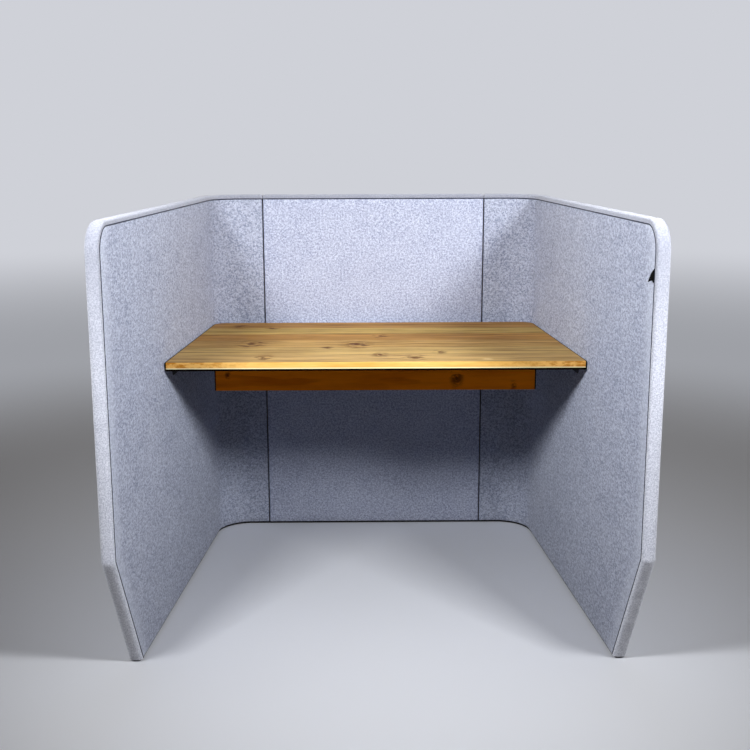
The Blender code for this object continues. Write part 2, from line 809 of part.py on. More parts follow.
def build_tag(finishes):
    """Plain folded tab standing out of the right wing's front seam."""
    outline = [
        (0.0, 0.0),
        (TAG_REACH * 0.55, -TAG_H * 0.35),
        (TAG_REACH, -TAG_H * 0.92),
        (TAG_REACH * 0.3, -TAG_H * 0.8),
        (0.0, -TAG_H),
    ]
    half = TAG_T / 2
    body = ring_body([[Vector((x, y, z)) for x, z in outline] for y in (-half, half)])
    spot = wing_point(SIDES["right"], WING_END, STRIP_INSET - 2 * FIT, PANEL_TOP - TAG_DROP)
    turn = wall_turn(SIDES["right"]) - pi / 2 - TAG_LEAN
    return place(add_object("seam_tag", body, finishes["tag"]), spot, (0.0, 0.0, turn))


# The whole booth

def build():
    finishes = {
        "felt": material("felt", (0.47, 0.50, 0.62), 0.95),
        "plywood": material("plywood", (0.62, 0.46, 0.28), 0.7),
        "base": material("base_black", (0.015, 0.015, 0.017), 0.6),
        "glide": material("glide_black", (0.02, 0.02, 0.02), 0.5),
        "brass": material("insert_brass", (0.75, 0.55, 0.25), 0.35, 1.0),
        "zinc": material("zinc_steel", (0.66, 0.67, 0.68), 0.35, 1.0),
        "steel": material("cleat_steel", (0.05, 0.05, 0.055), 0.45, 1.0),
        "pine": material("pine", (0.50, 0.27, 0.09), 0.4),
        "tag": material("tag_black", (0.008, 0.008, 0.009), 0.8),
    }
    spots = glide_spots()
    for name, side in SIDES.items():
        panel = name + "_wing"
        core, inner, _ = build_layers(panel, lambda i, d, s=side: wing_grid(s, i, d), finishes)
        build_wing_strip(panel, side, finishes)
        base = build_wing_base(panel, side, finishes)
        own = [spot for _, owner, spot in spots if owner == panel]
        holes = [moved(screw_hole(WALL_SCREW_L), frame) for frame in wall_screws(side)]
        cut(core, [glide_core_bore(spot) for spot in own] + connector_wing_cuts(side) + holes)
        cut(inner, [moved(screw_hole(WALL_SCREW_L), frame) for frame in wall_screws(side)])
        cut(base, [glide_base_bore(spot) for spot in own])
        for label, level in connector_levels().items():
            build_connector(name, side, label, level, finishes)
    core, _, _ = build_layers("centre", centre_grid, finishes)
    build_centre_strip(finishes)
    base = build_centre_base(finishes)
    own = [spot for _, owner, spot in spots if owner == "centre"]
    seats = [glide_core_bore(spot) for spot in own]
    for side in SIDES.values():
        seats += connector_centre_cuts(side)
    cut(core, seats)
    cut(base, [glide_base_bore(spot) for spot in own])
    for name, _, spot in spots:
        build_glide(name, spot, finishes)

    desktop = build_desktop(finishes)
    rail = build_rail(finishes)
    desk_holes = []
    rail_holes = []
    for i, spot in enumerate(rail_screw_spots()):
        frame = Matrix.Translation(spot)
        add_screw(f"rail_screw_{i + 1}", frame, RAIL_SCREW_L, finishes)
        desk_holes.append(moved(screw_hole(RAIL_SCREW_L), frame))
        sunk = screw_hole(RAIL_SCREW_L, SCREW_HEAD_R + 2 * FIT, 2 * RAIL_COUNTERBORE)
        rail_holes.append(moved(sunk, frame))
    for name, side in SIDES.items():
        cleat = build_cleat(name, side, finishes)
        cleat_holes = []
        for i, frame in enumerate(wall_screws(side)):
            add_screw(f"{name}_wall_screw_{i + 1}", frame, WALL_SCREW_L, finishes)
            cleat_holes.append(moved(screw_hole(WALL_SCREW_L), frame))
        for i, frame in enumerate(desk_screws(side)):
            add_screw(f"{name}_desk_screw_{i + 1}", frame, DESK_SCREW_L, finishes)
            cleat_holes.append(moved(screw_hole(DESK_SCREW_L), frame))
            desk_holes.append(moved(screw_hole(DESK_SCREW_L), frame))
        cut(cleat, cleat_holes)
    cut(desktop, desk_holes)
    cut(rail, rail_holes)
    build_tag(finishes)


for existing in list(bpy.data.objects):
    bpy.data.objects.remove(existing, do_unlink=True)
build()
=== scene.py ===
# %% [markdown]
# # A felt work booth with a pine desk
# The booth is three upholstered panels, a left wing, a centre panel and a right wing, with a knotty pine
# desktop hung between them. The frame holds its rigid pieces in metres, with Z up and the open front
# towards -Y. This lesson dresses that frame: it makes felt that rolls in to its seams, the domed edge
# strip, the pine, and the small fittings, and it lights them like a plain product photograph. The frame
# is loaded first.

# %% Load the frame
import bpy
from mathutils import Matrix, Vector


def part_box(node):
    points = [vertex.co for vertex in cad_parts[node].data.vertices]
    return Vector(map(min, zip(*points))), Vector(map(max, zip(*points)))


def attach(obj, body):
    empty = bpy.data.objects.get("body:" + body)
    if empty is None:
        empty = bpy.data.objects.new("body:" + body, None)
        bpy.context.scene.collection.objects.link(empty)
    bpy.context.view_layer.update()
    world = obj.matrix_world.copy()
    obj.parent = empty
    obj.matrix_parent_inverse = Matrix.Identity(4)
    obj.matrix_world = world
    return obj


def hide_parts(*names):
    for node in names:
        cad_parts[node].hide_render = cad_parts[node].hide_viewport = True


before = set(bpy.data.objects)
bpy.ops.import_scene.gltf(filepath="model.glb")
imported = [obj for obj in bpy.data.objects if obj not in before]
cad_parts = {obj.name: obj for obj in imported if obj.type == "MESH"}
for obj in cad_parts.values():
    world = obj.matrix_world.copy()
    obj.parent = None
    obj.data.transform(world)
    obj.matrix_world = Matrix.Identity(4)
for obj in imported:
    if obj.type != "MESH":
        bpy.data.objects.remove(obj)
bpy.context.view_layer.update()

from math import cos, pi, radians, sin, sqrt, tan

import bmesh
import bpy
import numpy as np
from mathutils import Matrix, Vector

# %% [markdown]
# ## Sizes
# Heights, thickness and the line of the back are read from the frame, so that they can't drift away from
# it. The rest are the sizes that an upholsterer would write on the pattern of a wing: a short return
# beside the centre panel, a round rear corner, a splayed side, a slanted toe and a round top corner. A
# place on a wing is given by three numbers: u along its run from the centre panel, w through its
# thickness from the inner face, and z.

# %% Sizes of the panels
core_low, core_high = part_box("centre_core")
PANEL_BOTTOM = core_low.z
PANEL_TOP = core_high.z
CENTRE_HALF = core_high.x
RETURN_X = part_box("right_wing_core")[0].x
BACK_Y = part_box("centre_inner_pad")[0].y
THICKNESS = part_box("centre_outer_pad")[1].y - BACK_Y
MID_W = THICKNESS / 2

FIT = 0.0003
RETURN_RUN = 0.0628
CORNER_RADIUS = 0.105
WING_RUN = 1.181
WING_SPLAY = radians(4.5)
KINK_HEIGHT = 0.350
TOE_SETBACK = 0.193
TOP_RADIUS = 0.060
SIDES = {"left": -1, "right": 1}

TURN = pi / 2 - WING_SPLAY
ARC_END = RETURN_RUN + CORNER_RADIUS * TURN
WING_END = ARC_END + WING_RUN
TOE_RISE = KINK_HEIGHT - PANEL_BOTTOM
TOE_OUT = np.array((TOE_RISE, -TOE_SETBACK)) / sqrt(TOE_RISE ** 2 + TOE_SETBACK ** 2)
print("wing run", round(WING_END, 4), "panel height", round(PANEL_TOP - PANEL_BOTTOM, 4))

# %% [markdown]
# ## Camera
# The camera stands a little above the panels, in front of the open side, and looks slightly down. Its
# place, turns and focal length were found by fitting the booth's own corners to the photograph, so the
# render can be laid over it. Yaw, pitch and roll are turned into three axes first, because a camera looks
# along its own -Z.

# %% Camera
def add_object(name, data):
    """A new object in the scene."""
    thing = bpy.data.objects.new(name, data)
    bpy.context.collection.objects.link(thing)
    return thing


PICTURE = 750
FOCAL_PIXELS = 1125.633
SENSOR = 36.0
CAMERA_PLACE = Vector((-0.034951, -3.23631, 1.349126))
CAMERA_YAW = 0.0101815
CAMERA_PITCH = 0.2056665
CAMERA_ROLL = -0.0024862


def add_camera():
    """Forward comes from yaw and pitch, right is square to it, and the roll turns both about forward."""
    level = cos(CAMERA_PITCH)
    forward = Vector((sin(CAMERA_YAW) * level, cos(CAMERA_YAW) * level, -sin(CAMERA_PITCH)))
    flat_right = Vector((cos(CAMERA_YAW), -sin(CAMERA_YAW), 0.0))
    flat_up = flat_right.cross(forward)
    right = cos(CAMERA_ROLL) * flat_right + sin(CAMERA_ROLL) * flat_up
    up = cos(CAMERA_ROLL) * flat_up - sin(CAMERA_ROLL) * flat_right
    data = bpy.data.cameras.new("camera")
    data.sensor_width = SENSOR
    data.lens = SENSOR * FOCAL_PIXELS / PICTURE
    camera = add_object("camera", data)
    turn = Matrix((right, up, -forward)).transposed().to_4x4()
    camera.matrix_world = Matrix.Translation(CAMERA_PLACE) @ turn
    bpy.context.scene.camera = camera
    return camera


print("lens", round(add_camera().data.lens, 2), "mm")

# %% [markdown]
# ## Surfaces from numbers
# Every new piece is a table of points: rows along one direction, columns along the other. Four neighbours
# make a face, so the faces of a whole table come from shifted copies of one table of numbers, with no
# loop over points. A closed piece then has its faces turned outwards, and edges sharper than a given
# angle are kept crisp.

# %% Mesh helpers
CRISP = radians(50)


def table_faces(ids, wrap=False):
    """Quads between neighbouring rows and columns of a table. wrap joins the last column to the first."""
    if wrap:
        ids = np.concatenate((ids, ids[:, :1]), axis=1)
    return np.stack((ids[:-1, :-1], ids[:-1, 1:], ids[1:, 1:], ids[1:, :-1]), axis=-1).reshape(-1, 4)


def tube_faces(points):
    """Faces of a closed tube of rings: quads all round, and one face at either end."""
    ids = np.arange(points.shape[0] * points.shape[1]).reshape(points.shape[:2])
    return table_faces(ids, wrap=True).tolist() + [ids[0].tolist(), ids[-1].tolist()]


def add_piece(name, points, faces, finish, nodes, body="booth", attributes=None):
    """One object from points and faces, with its material, its body and the frame nodes it stands for."""
    mesh = bpy.data.meshes.new(name)
    mesh.from_pydata(np.asarray(points, dtype=float).reshape(-1, 3).tolist(), [], faces)
    for label, values in (attributes or {}).items():
        layer = mesh.attributes.new(label, "FLOAT", "POINT")
        layer.data.foreach_set("value", np.ascontiguousarray(values, dtype=np.float32).ravel())
    bm = bmesh.new()
    bm.from_mesh(mesh)
    bmesh.ops.recalc_face_normals(bm, faces=bm.faces)
    bm.to_mesh(mesh)
    bm.free()
    mesh.shade_smooth()
    mesh.set_sharp_from_angle(angle=CRISP)
    mesh.materials.append(finish)
    piece = add_object(name, mesh)
    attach(piece, body)
    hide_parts(*nodes)
    return piece


def linear(red, green, blue):
    """A colour written as 0 to 255 screen values, as the linear colour that a shader wants."""
    screen = np.array((red, green, blue)) / 255.0
    light = np.where(screen <= 0.04045, screen / 12.92, ((screen + 0.055) / 1.055) ** 2.4)
    return (*light.tolist(), 1.0)


print("a mid grey of 188 is", round(linear(188, 188, 188)[0], 3), "in linear light")

# %% [markdown]
# ## Shader helpers
# A material is a small network. These helpers add one node each and return its output, so that a network
# reads like a sum. A value that comes from another node is linked, and a plain number is written on the
# socket itself.

# %% Node helpers
def add_node(tree, kind, **settings):
    node = tree.nodes.new(kind)
    for key, value in settings.items():
        setattr(node, key, value)
    return node


def feed(tree, value, socket):
    """Links an output to a socket, or writes a plain value on it."""
    if isinstance(value, bpy.types.NodeSocket):
        tree.links.new(value, socket)
    else:
        socket.default_value = value


def calc(tree, operation, a, b=0.0, c=0.0):
    node = add_node(tree, "ShaderNodeMath", operation=operation)
    for value, socket in zip((a, b, c), node.inputs):
        feed(tree, value, socket)
    return node.outputs[0]


def vector_calc(tree, operation, a, b=(0.0, 0.0, 0.0)):
    node = add_node(tree, "ShaderNodeVectorMath", operation=operation)
    feed(tree, a, node.inputs[0])
    feed(tree, b, node.inputs[1])
    return node.outputs["Value"] if operation in ("LENGTH", "DISTANCE") else node.outputs["Vector"]


def split_place(tree, position):
    """X, Y and Z of a position, each as an output of its own."""
    node = add_node(tree, "ShaderNodeSeparateXYZ")
    feed(tree, position, node.inputs[0])
    return node.outputs


def ramp(tree, value, low, high, start=0.0, end=1.0):
    """A smooth step of value between low and high, as a number from start to end."""
    node = add_node(tree, "ShaderNodeMapRange", interpolation_type="SMOOTHSTEP")
    labels = ("Value", "From Min", "From Max", "To Min", "To Max")
    for label, number in zip(labels, (value, low, high, start, end)):
        feed(tree, number, node.inputs[label])
    return node.outputs["Result"]


def noise(tree, position, scale, detail=2.0, roughness=0.5, stretch=None):
    if stretch:
        position = vector_calc(tree, "MULTIPLY", position, stretch)
    node = add_node(tree, "ShaderNodeTexNoise")
    feed(tree, position, node.inputs["Vector"])
    for key, number in (("Scale", scale), ("Detail", detail), ("Roughness", roughness)):
        feed(tree, number, node.inputs[key])
    return node.outputs["Fac"]


def blend_colour(tree, factor, a, b):
    node = add_node(tree, "ShaderNodeMix", data_type="RGBA")
    feed(tree, factor, node.inputs["Factor"])
    sockets = [socket for socket in node.inputs if socket.type == "RGBA"]
    feed(tree, a, sockets[0])
    feed(tree, b, sockets[1])
    return [socket for socket in node.outputs if socket.type == "RGBA"][0]


SOCKETS = {"vector": "NodeSocketVector", "colour": "NodeSocketColor", "number": "NodeSocketFloat"}


def new_group(name, inputs, outputs):
    """An empty node group with named sockets. Returns it with its input and output nodes."""
    group = bpy.data.node_groups.new(name, "ShaderNodeTree")
    for label, kind in inputs.items():
        group.interface.new_socket(name=label, in_out="INPUT", socket_type=SOCKETS[kind])
    for label, kind in outputs.items():
        group.interface.new_socket(name=label, in_out="OUTPUT", socket_type=SOCKETS[kind])
    return group, group.nodes.new("NodeGroupInput").outputs, group.nodes.new("NodeGroupOutput").inputs


def use_group(tree, group, **values):
    """Places a group in a material. A socket called Light wool is fed by light_wool=."""
    node = add_node(tree, "ShaderNodeGroup", node_tree=group)
    for label, value in values.items():
        feed(tree, value, node.inputs[label.replace("_", " ").capitalize()])
    return node.outputs


def new_material(name, **constants):
    """A material with one Principled shader whose even values are set on its own sockets."""
    finish = bpy.data.materials.new(name)
    finish.use_nodes = True
    tree = finish.node_tree
    shader = next(node for node in tree.nodes if node.type == "BSDF_PRINCIPLED")
    for label, value in constants.items():
        shader.inputs[label.replace("_", " ").title().replace("Ior", "IOR")].default_value = value
    position = add_node(tree, "ShaderNodeTexCoord").outputs["Object"]
    return finish, tree, shader.inputs, position


def roughen(tree, height, distance, strength=1.0):
    """A normal tilted by the slope of a height."""
    node = add_node(tree, "ShaderNodeBump")
    node.inputs["Strength"].default_value = strength
    node.inputs["Distance"].default_value = distance
    feed(tree, height, node.inputs["Height"])
    return node.outputs["Normal"]


print("node helpers ready")

# %% [markdown]
# ## Felt
# Melange felt is spun from dyed and undyed wool, so no two millimetres have quite the same shade: there
# are pale flecks on a lavender grey, soft clumps of a finger's width, and broad clouds across the panel.
# Three noises of different scale make those three sizes, and a fourth, very fine one gives the loose
# fibres that catch the light. The colours belong to the material and the group only mixes them, so the
# edge strip can use a paler wool.

# %% Melange group
def make_melange():
    """Shade is a weighted sum of fleck, clump and cloud noise. Height is fleck plus fibre."""
    group, given, result = new_group(
        "melange",
        {"Position": "vector", "Light wool": "colour", "Dark wool": "colour"},
        {"Colour": "colour", "Height": "number"},
    )
    place = given["Position"]
    fleck = ramp(group, noise(group, place, 380.0, 2.0, 0.6), 0.38, 0.62)
    clump = ramp(group, noise(group, place, 165.0, 2.0, 0.6), 0.38, 0.62)
    cloud = noise(group, place, 14.0, 3.0, 0.6)
    fibre = noise(group, place, 1400.0, 2.0, 0.7)
    shade = calc(group, "MULTIPLY", fleck, 0.34)
    shade = calc(group, "MULTIPLY_ADD", clump, 0.42, shade)
    shade = calc(group, "MULTIPLY_ADD", cloud, 0.24, shade)
    feed(group, blend_colour(group, shade, given["Dark wool"], given["Light wool"]), result["Colour"])
    feed(group, calc(group, "MULTIPLY_ADD", fibre, 0.6, fleck), result["Height"])
    return group


MELANGE = make_melange()
print("melange nodes", len(MELANGE.nodes))

# %% [markdown]
# The upholstered pieces carry two numbers on every point: its distance to the nearest seam, and to the
# front edge. The felt reads them, so that the stitched line is darker, from needle holes and painted shade
# in the groove, and the front edge a little paler, as a painted highlight. The strips are a paler wool
# with finer flecks and a raised nap, and they are painted darker along the top as shade. The wings' wool
# is a darker copy of the centre's, painted shade as well. Sheen stands for the short hairs on the surface.

# %% Felt materials
SEAM_LINE = 0.0011
FRONT_HIGHLIGHT_REACH = 0.075
SEAM_SHADE = linear(24, 32, 58)
TOP_SHADE_DROP = 0.38
TOP_SHADE_COLOUR = linear(108, 113, 132)


def felt_material(name, light_wool, dark_wool, fleck=(1.0, 1.0, 1.0), nap=0.0, top_shade=0.0):
    """Melange wool with a painted highlight at the front, painted shade at the top, and a seam dark from
    stitching and painted shade. Nap evens the shading.
    """
    finish, tree, shader, position = new_material(
        name, roughness=0.95, diffuse_roughness=nap, specular_ior_level=0.2,
        sheen_weight=0.18, sheen_roughness=0.5,
    )
    fibres = vector_calc(tree, "MULTIPLY", position, fleck)
    wool = use_group(tree, MELANGE, position=fibres, light_wool=light_wool, dark_wool=dark_wool)
    seam = add_node(tree, "ShaderNodeAttribute", attribute_name="seam").outputs["Fac"]
    front = add_node(tree, "ShaderNodeAttribute", attribute_name="front").outputs["Fac"]
    # Painted highlight: paler wool towards the front edge.
    front_highlight = ramp(tree, front, FRONT_HIGHLIGHT_REACH, SEAM_LINE, 0.0, 0.45)
    colour = blend_colour(tree, front_highlight, wool["Colour"], light_wool)
    height = split_place(tree, position)["Z"]
    # Painted shade: greyer towards the top of the panels.
    top_shaded = ramp(tree, height, PANEL_TOP - TOP_SHADE_DROP, PANEL_TOP, 0.0, top_shade)
    colour = blend_colour(tree, top_shaded, colour, TOP_SHADE_COLOUR)
    # The seam line is darkened, for stitching and for painted shade in the groove.
    seam_stitch_and_shade = ramp(tree, seam, SEAM_LINE, SEAM_LINE / 3)
    feed(tree, blend_colour(tree, seam_stitch_and_shade, colour, SEAM_SHADE), shader["Base Color"])
    feed(tree, roughen(tree, wool["Height"], 0.0007, 0.55), shader["Normal"])
    return finish


centre_felt = felt_material("centre_felt", linear(229, 236, 255), linear(131, 140, 176))
# The wings' wool is a darker copy of the centre's: painted shade.
shaded_wing_felt = felt_material("shaded_wing_felt", linear(218, 225, 243), linear(111, 120, 152), (1.0, 0.55, 1.0))
strip_felt = felt_material(
    "strip_felt", linear(238, 241, 251), linear(163, 168, 186), (1.7, 1.7, 1.7), nap=1.0, top_shade=0.47,
)
print("felts", centre_felt.name, shaded_wing_felt.name, strip_felt.name)

# %% [markdown]
# ## Panels
# A wing is one wall that is straight beside the centre panel, bends round the rear corner and runs
# straight to the front. Bending is only a change of coordinates: the pattern is laid out flat in u and z,
# and this function wraps it round the corner. Points further through the wall (larger w) lie on a larger
# arc.

# %% Wall coordinates
def on_wing(side, u, w, z):
    """A straight return, an arc of the corner radius plus w, then a straight run. side mirrors x."""
    angle = np.clip((u - RETURN_RUN) / CORNER_RADIUS, 0.0, TURN)
    run = np.maximum(u - ARC_END, 0.0)
    x = RETURN_X + np.minimum(u, RETURN_RUN) + (CORNER_RADIUS + w) * np.sin(angle) + run * cos(TURN)
    y = BACK_Y + (CORNER_RADIUS + w) * np.cos(angle) - CORNER_RADIUS - run * sin(TURN)
    return np.stack(np.broadcast_arrays(side * x, y, z), axis=-1)


def on_centre(x, w, z):
    """The centre panel is flat: x along it, w backwards from its inner face."""
    return np.stack(np.broadcast_arrays(x, BACK_Y + w, z), axis=-1)


def front_u(z):
    """Front end of a wing at each height: a slanted toe, an upright edge and a round top corner."""
    toe = TOE_SETBACK * np.maximum(KINK_HEIGHT - z, 0.0) / TOE_RISE
    rise = np.maximum(z - (PANEL_TOP - TOP_RADIUS), 0.0)
    return WING_END - toe - TOP_RADIUS + np.sqrt(np.maximum(TOP_RADIUS ** 2 - rise ** 2, 0.0))


def wing_seam(u, z):
    """Distance to the nearest seam: the least of those to each edge and to the top front corner's arc."""
    corner_u = WING_END - TOP_RADIUS
    corner_z = PANEL_TOP - TOP_RADIUS
    arc = TOP_RADIUS - np.hypot(np.maximum(u - corner_u, 0.0), np.maximum(z - corner_z, 0.0))
    toe = (WING_END - u) * TOE_OUT[0] + (KINK_HEIGHT - z) * TOE_OUT[1]
    edges = [u, z - PANEL_BOTTOM, PANEL_TOP - z, WING_END - u, toe]
    return np.minimum(np.minimum.reduce(edges), np.where((u > corner_u) & (z > corner_z), arc, TOP_RADIUS))


print("wing tip at desk height", np.round(on_wing(1, WING_END, 0.0, 0.74), 3).tolist())

# %% [markdown]
# ## Pads
# The felt is pulled over thin foam and sewn down all round, so each face is flat in the middle, rolls
# back over the last 26 mm and tucks sharply into the seam. It could be modelled as a box with a bevel,
# but then the roll would meet the round corner badly. Here the depth below the face is a function of the
# distance to the seam, so the roll follows any outline. Small puckers follow the stitches, and long
# shallow waves keep the face from being a mirror.

# %% Depth of the felt
PAD_T = 0.0095
PAD_ROLL = 0.026
SEAM_DRAW = 0.003
TUCK_RUN = 0.0020
TUCK_DEPTH = 0.0045
JOINT_RUN = 0.0050
STITCH = 0.0095
PUCKER = 0.00022
PUCKER_REACH = 0.010
WAVES = 9
WAVE_HEIGHT = 0.00016


def quarter_round(distance, reach, depth):
    """A quarter ellipse: the full depth at the seam, nothing at reach and beyond."""
    left = 1.0 - np.clip(distance / reach, 0.0, 1.0)
    return depth * (1.0 - np.sqrt(1.0 - left ** 2))


def long_waves(u, z, seed):
    """A sum of shallow sines with drawn directions, lengths of 0.1 to 0.4 m and drawn phases."""
    draw = np.random.default_rng(seed)
    total = np.zeros(np.broadcast(u, z).shape)
    for _ in range(WAVES):
        direction, length, phase = draw.uniform((0.0, 0.1, 0.0), (pi, 0.4, 2 * pi))
        total += np.sin(2 * pi * (u * np.cos(direction) + z * np.sin(direction)) / length + phase)
    return WAVE_HEIGHT * total


def felt_depth(u, z, seam, joint, swell, seed):
    """Roll, tuck and puckers that die away from the seam, less swell and waves, which stop at the seam."""
    along = np.where(np.minimum(np.abs(z - PANEL_TOP), np.abs(z - PANEL_BOTTOM)) < seam + 1e-6, u, z)
    puckers = PUCKER * np.exp(-seam / PUCKER_REACH) * (1.0 + np.sin(2 * pi * along / STITCH))
    raised = (swell + long_waves(u, z, seed)) * np.clip(seam / PAD_ROLL, 0.0, 1.0)
    tuck = np.maximum(quarter_round(seam, TUCK_RUN, TUCK_DEPTH), quarter_round(joint, JOINT_RUN, TUCK_DEPTH))
    return quarter_round(seam, PAD_ROLL, SEAM_DRAW) + tuck + puckers - raised


print("roll and tuck at the seam", round((SEAM_DRAW + TUCK_DEPTH) * 1000, 2), "mm")

# %% [markdown]
# How far the felt stands up between its seams is left to a cloth simulation. A flat sheet with the
# outline of the skin is sewn down all round and pressed from behind, as the foam does, and gravity is
# off, because the board carries the felt. The sheet is coarse, since the swell is broad: smooth weights
# spread it over the fine table. The foam gives way only a little, so the highest point is held to the
# foam's own give.

# %% Swell of the felt
SHEET_POINTS = 45
SHEET_FRAMES = 20
FOAM_PRESSURE = 4.0
FOAM_GIVE = 0.0008


def blown_sheet(u, z):
    """Rise of a flat cloth through u and z that is held along its rim and pressed for some frames."""
    ids = np.arange(u.size).reshape(u.shape)
    mesh = bpy.data.meshes.new("sheet")
    flat = np.stack((u, z, np.zeros(u.shape)), axis=-1).reshape(-1, 3)
    mesh.from_pydata(flat.tolist(), [], table_faces(ids).tolist())
    sheet = add_object("sheet", mesh)
    rim = np.concatenate((ids[0], ids[-1], ids[1:-1, 0], ids[1:-1, -1]))
    sheet.vertex_groups.new(name="sewn").add(rim.tolist(), 1.0, "REPLACE")
    cloth = sheet.modifiers.new("cloth", "CLOTH")
    cloth.settings.vertex_group_mass = "sewn"
    cloth.settings.use_pressure = True
    cloth.settings.uniform_pressure_force = FOAM_PRESSURE
    cloth.settings.effector_weights.gravity = 0.0
    for moment in range(1, SHEET_FRAMES + 1):
        bpy.context.scene.frame_set(moment)
    risen = np.empty(u.size * 3)
    sheet.evaluated_get(bpy.context.evaluated_depsgraph_get()).data.vertices.foreach_get("co", risen)
    bpy.data.objects.remove(sheet)
    bpy.data.meshes.remove(mesh)
    bpy.context.scene.frame_set(1)
    return np.abs(risen[2::3].reshape(u.shape))


def sheet_weights(axis):
    """Indices nearest to even steps along an axis, and each point's quadratic spline weights on them."""
    even = np.linspace(axis[0], axis[-1], SHEET_POINTS)
    picked = np.unique(np.abs(axis[:, None] - even[None, :]).argmin(axis=0))
    numbers = np.arange(picked.size)
    away = np.abs(np.interp(axis, axis[picked], numbers)[:, None] - numbers[None, :])
    return picked, np.where(away < 0.5, 0.75 - away ** 2, 0.5 * np.maximum(1.5 - away, 0.0) ** 2)


def felt_swell(u, z):
    """Simulated rise of a coarse copy, spread over the whole table and scaled to the foam's give."""
    picked_z, weights_z = sheet_weights(z[:, 0])
    picked_u, weights_u = sheet_weights(u[u.shape[0] // 2])
    coarse = np.ix_(picked_z, picked_u)
    risen = blown_sheet(u[coarse], z[coarse])
    print("sheet", risen.shape, "rose mm", np.round((risen.max() * 1000, risen.mean() * 1000), 2).tolist())
    return FOAM_GIVE / risen.max() * (weights_z @ risen @ weights_u.T)


print("sheets of about", SHEET_POINTS, "by", SHEET_POINTS, "points, pressed for", SHEET_FRAMES, "frames")

# %% [markdown]
# A pad is a closed body: the felt skin, a rim, and a flat back against the core. The table of points is
# finer near its ends, where the roll needs it, and passes through every corner of the outline.

# %% Build the pads
SKIN_STEP = 0.0055
EDGE_STEPS = np.array((0.0003, 0.0007, 0.0012, 0.002, 0.003, 0.0042))


def spaced(length, step):
    """Even steps from 0 to length, with extra ones close to both ends."""
    even = np.linspace(0.0, length, round(length / step) + 1)
    return np.unique(np.concatenate((even, EDGE_STEPS, length - EDGE_STEPS)))


def merged(*lists):
    """Sorted numbers from several lists, without near doubles."""
    ordered = np.sort(np.concatenate(lists))
    return ordered[np.concatenate(([True], np.diff(ordered) > 1e-5))]


def pad_faces(ids, first_back):
    """Skin quads, a rim down to the back, and strips across the back from the lower to the upper edge."""
    loop = np.concatenate((ids[0, :-1], ids[:-1, -1], ids[-1, :0:-1], ids[:0:-1, 0]))
    back = np.zeros(ids.size, dtype=int)
    back[loop] = first_back + np.arange(len(loop))
    rim = np.stack((loop, np.roll(loop, -1), back[np.roll(loop, -1)], back[loop]), axis=-1)
    lower = back[ids[0]]
    upper = back[ids[-1]]
    strips = np.stack((lower[1:-2], lower[2:-1], upper[2:-1], upper[1:-2]), axis=-1)
    start = np.concatenate((back[ids[:, 0]], back[ids[[-1, 0], 1]]))
    end = np.concatenate((back[ids[:, -1]], back[ids[[-1, 0], -2]]))
    quads = np.concatenate((table_faces(ids), rim, strips)).tolist()
    return loop, quads + [start.tolist(), end.tolist()]


def add_pad(name, place, table, outer, seed):
    """Skin at its depth below the face, back at the pad's thickness. Outer pads count from outside."""
    u, z, seam, joint, front, swell = table
    depth = felt_depth(u, z, seam, joint, swell, seed)
    skin_w = THICKNESS - depth if outer else depth
    back_w = THICKNESS - PAD_T if outer else PAD_T
    skin = place(u, skin_w, z).reshape(-1, 3)
    ids = np.arange(u.size).reshape(u.shape)
    loop, faces = pad_faces(ids, u.size)
    back = place(u, np.full(u.shape, back_w), z).reshape(-1, 3)[loop]
    near = np.minimum(seam, joint * TUCK_RUN / JOINT_RUN)
    hidden = np.full(len(loop), FRONT_HIGHLIGHT_REACH)
    marks = {"seam": near, "front": front}
    marks = {label: np.concatenate((values.ravel(), hidden)) for label, values in marks.items()}
    finish = centre_felt if name == "centre_inner_pad" else shaded_wing_felt
    points = np.concatenate((skin, back))
    piece = add_piece(name + "_felt", points, faces, finish, [name], attributes=marks)
    return piece


height = PANEL_TOP - PANEL_BOTTOM
turned = PANEL_TOP - TOP_RADIUS + TOP_RADIUS * np.sin(np.linspace(0.0, pi / 2, 15))
rows = merged(PANEL_BOTTOM + spaced(height, SKIN_STEP), turned, [KINK_HEIGHT])[:, None]
share = spaced(WING_END, SKIN_STEP)[None, :] / WING_END
wing_u = share * front_u(rows)
wing_z = np.broadcast_to(rows, wing_u.shape)
centre_x = (spaced(2 * CENTRE_HALF, SKIN_STEP) - CENTRE_HALF)[None, :]
centre_x, centre_z = np.broadcast_arrays(centre_x, rows)
centre_joint = CENTRE_HALF - np.abs(centre_x)
centre_seam = np.minimum.reduce([centre_joint, centre_z - PANEL_BOTTOM, PANEL_TOP - centre_z])
wing_front = front_u(rows) - wing_u
wing_swell = felt_swell(wing_u, wing_z)
wing_table = (wing_u, wing_z, wing_seam(wing_u, wing_z), wing_u, wing_front, wing_swell)
centre_front = np.full(centre_x.shape, FRONT_HIGHLIGHT_REACH)
centre_swell = felt_swell(centre_x, centre_z)
centre_table = (centre_x, centre_z, centre_seam, centre_joint, centre_front, centre_swell)
pads = []
for seed, (label, outer) in enumerate((("inner", False), ("outer", True))):
    for name, side in SIDES.items():
        def place(u, w, z, side=side):
            return on_wing(side, u, w, z)
        pads.append(add_pad(f"{name}_wing_{label}_pad", place, wing_table, outer, 10 + 3 * seed + side))
    pads.append(add_pad(f"centre_{label}_pad", on_centre, centre_table, outer, 20 + seed))
print("felt points", [len(pad.data.vertices) for pad in pads])

# %% [markdown]
# ## Edge strips
# A domed strip of the same felt is sewn between the two faces. It runs along the top, round the top front
# corner, down the front and down the slanted toe, where it is cut level with the floor. A bevelled curve
# could do it, but its section would tilt at the bends. A section carried along a path keeps its two seams
# on the panel's two faces: at each station the section is given by its w and by its height outwards, and
# the path says which way outwards is.

# %% Section and path of the strip
STRIP_CROWN = 0.015
STRIP_SIDE = 0.0034
STRIP_INSET = 0.0016
WELT_R = 0.0010
WELT_W = 0.0014
STRIP_SQUARENESS = 2.6
STRIP_STEP = 0.0045
END_ROUND = 0.008
END_LEFT = 0.55


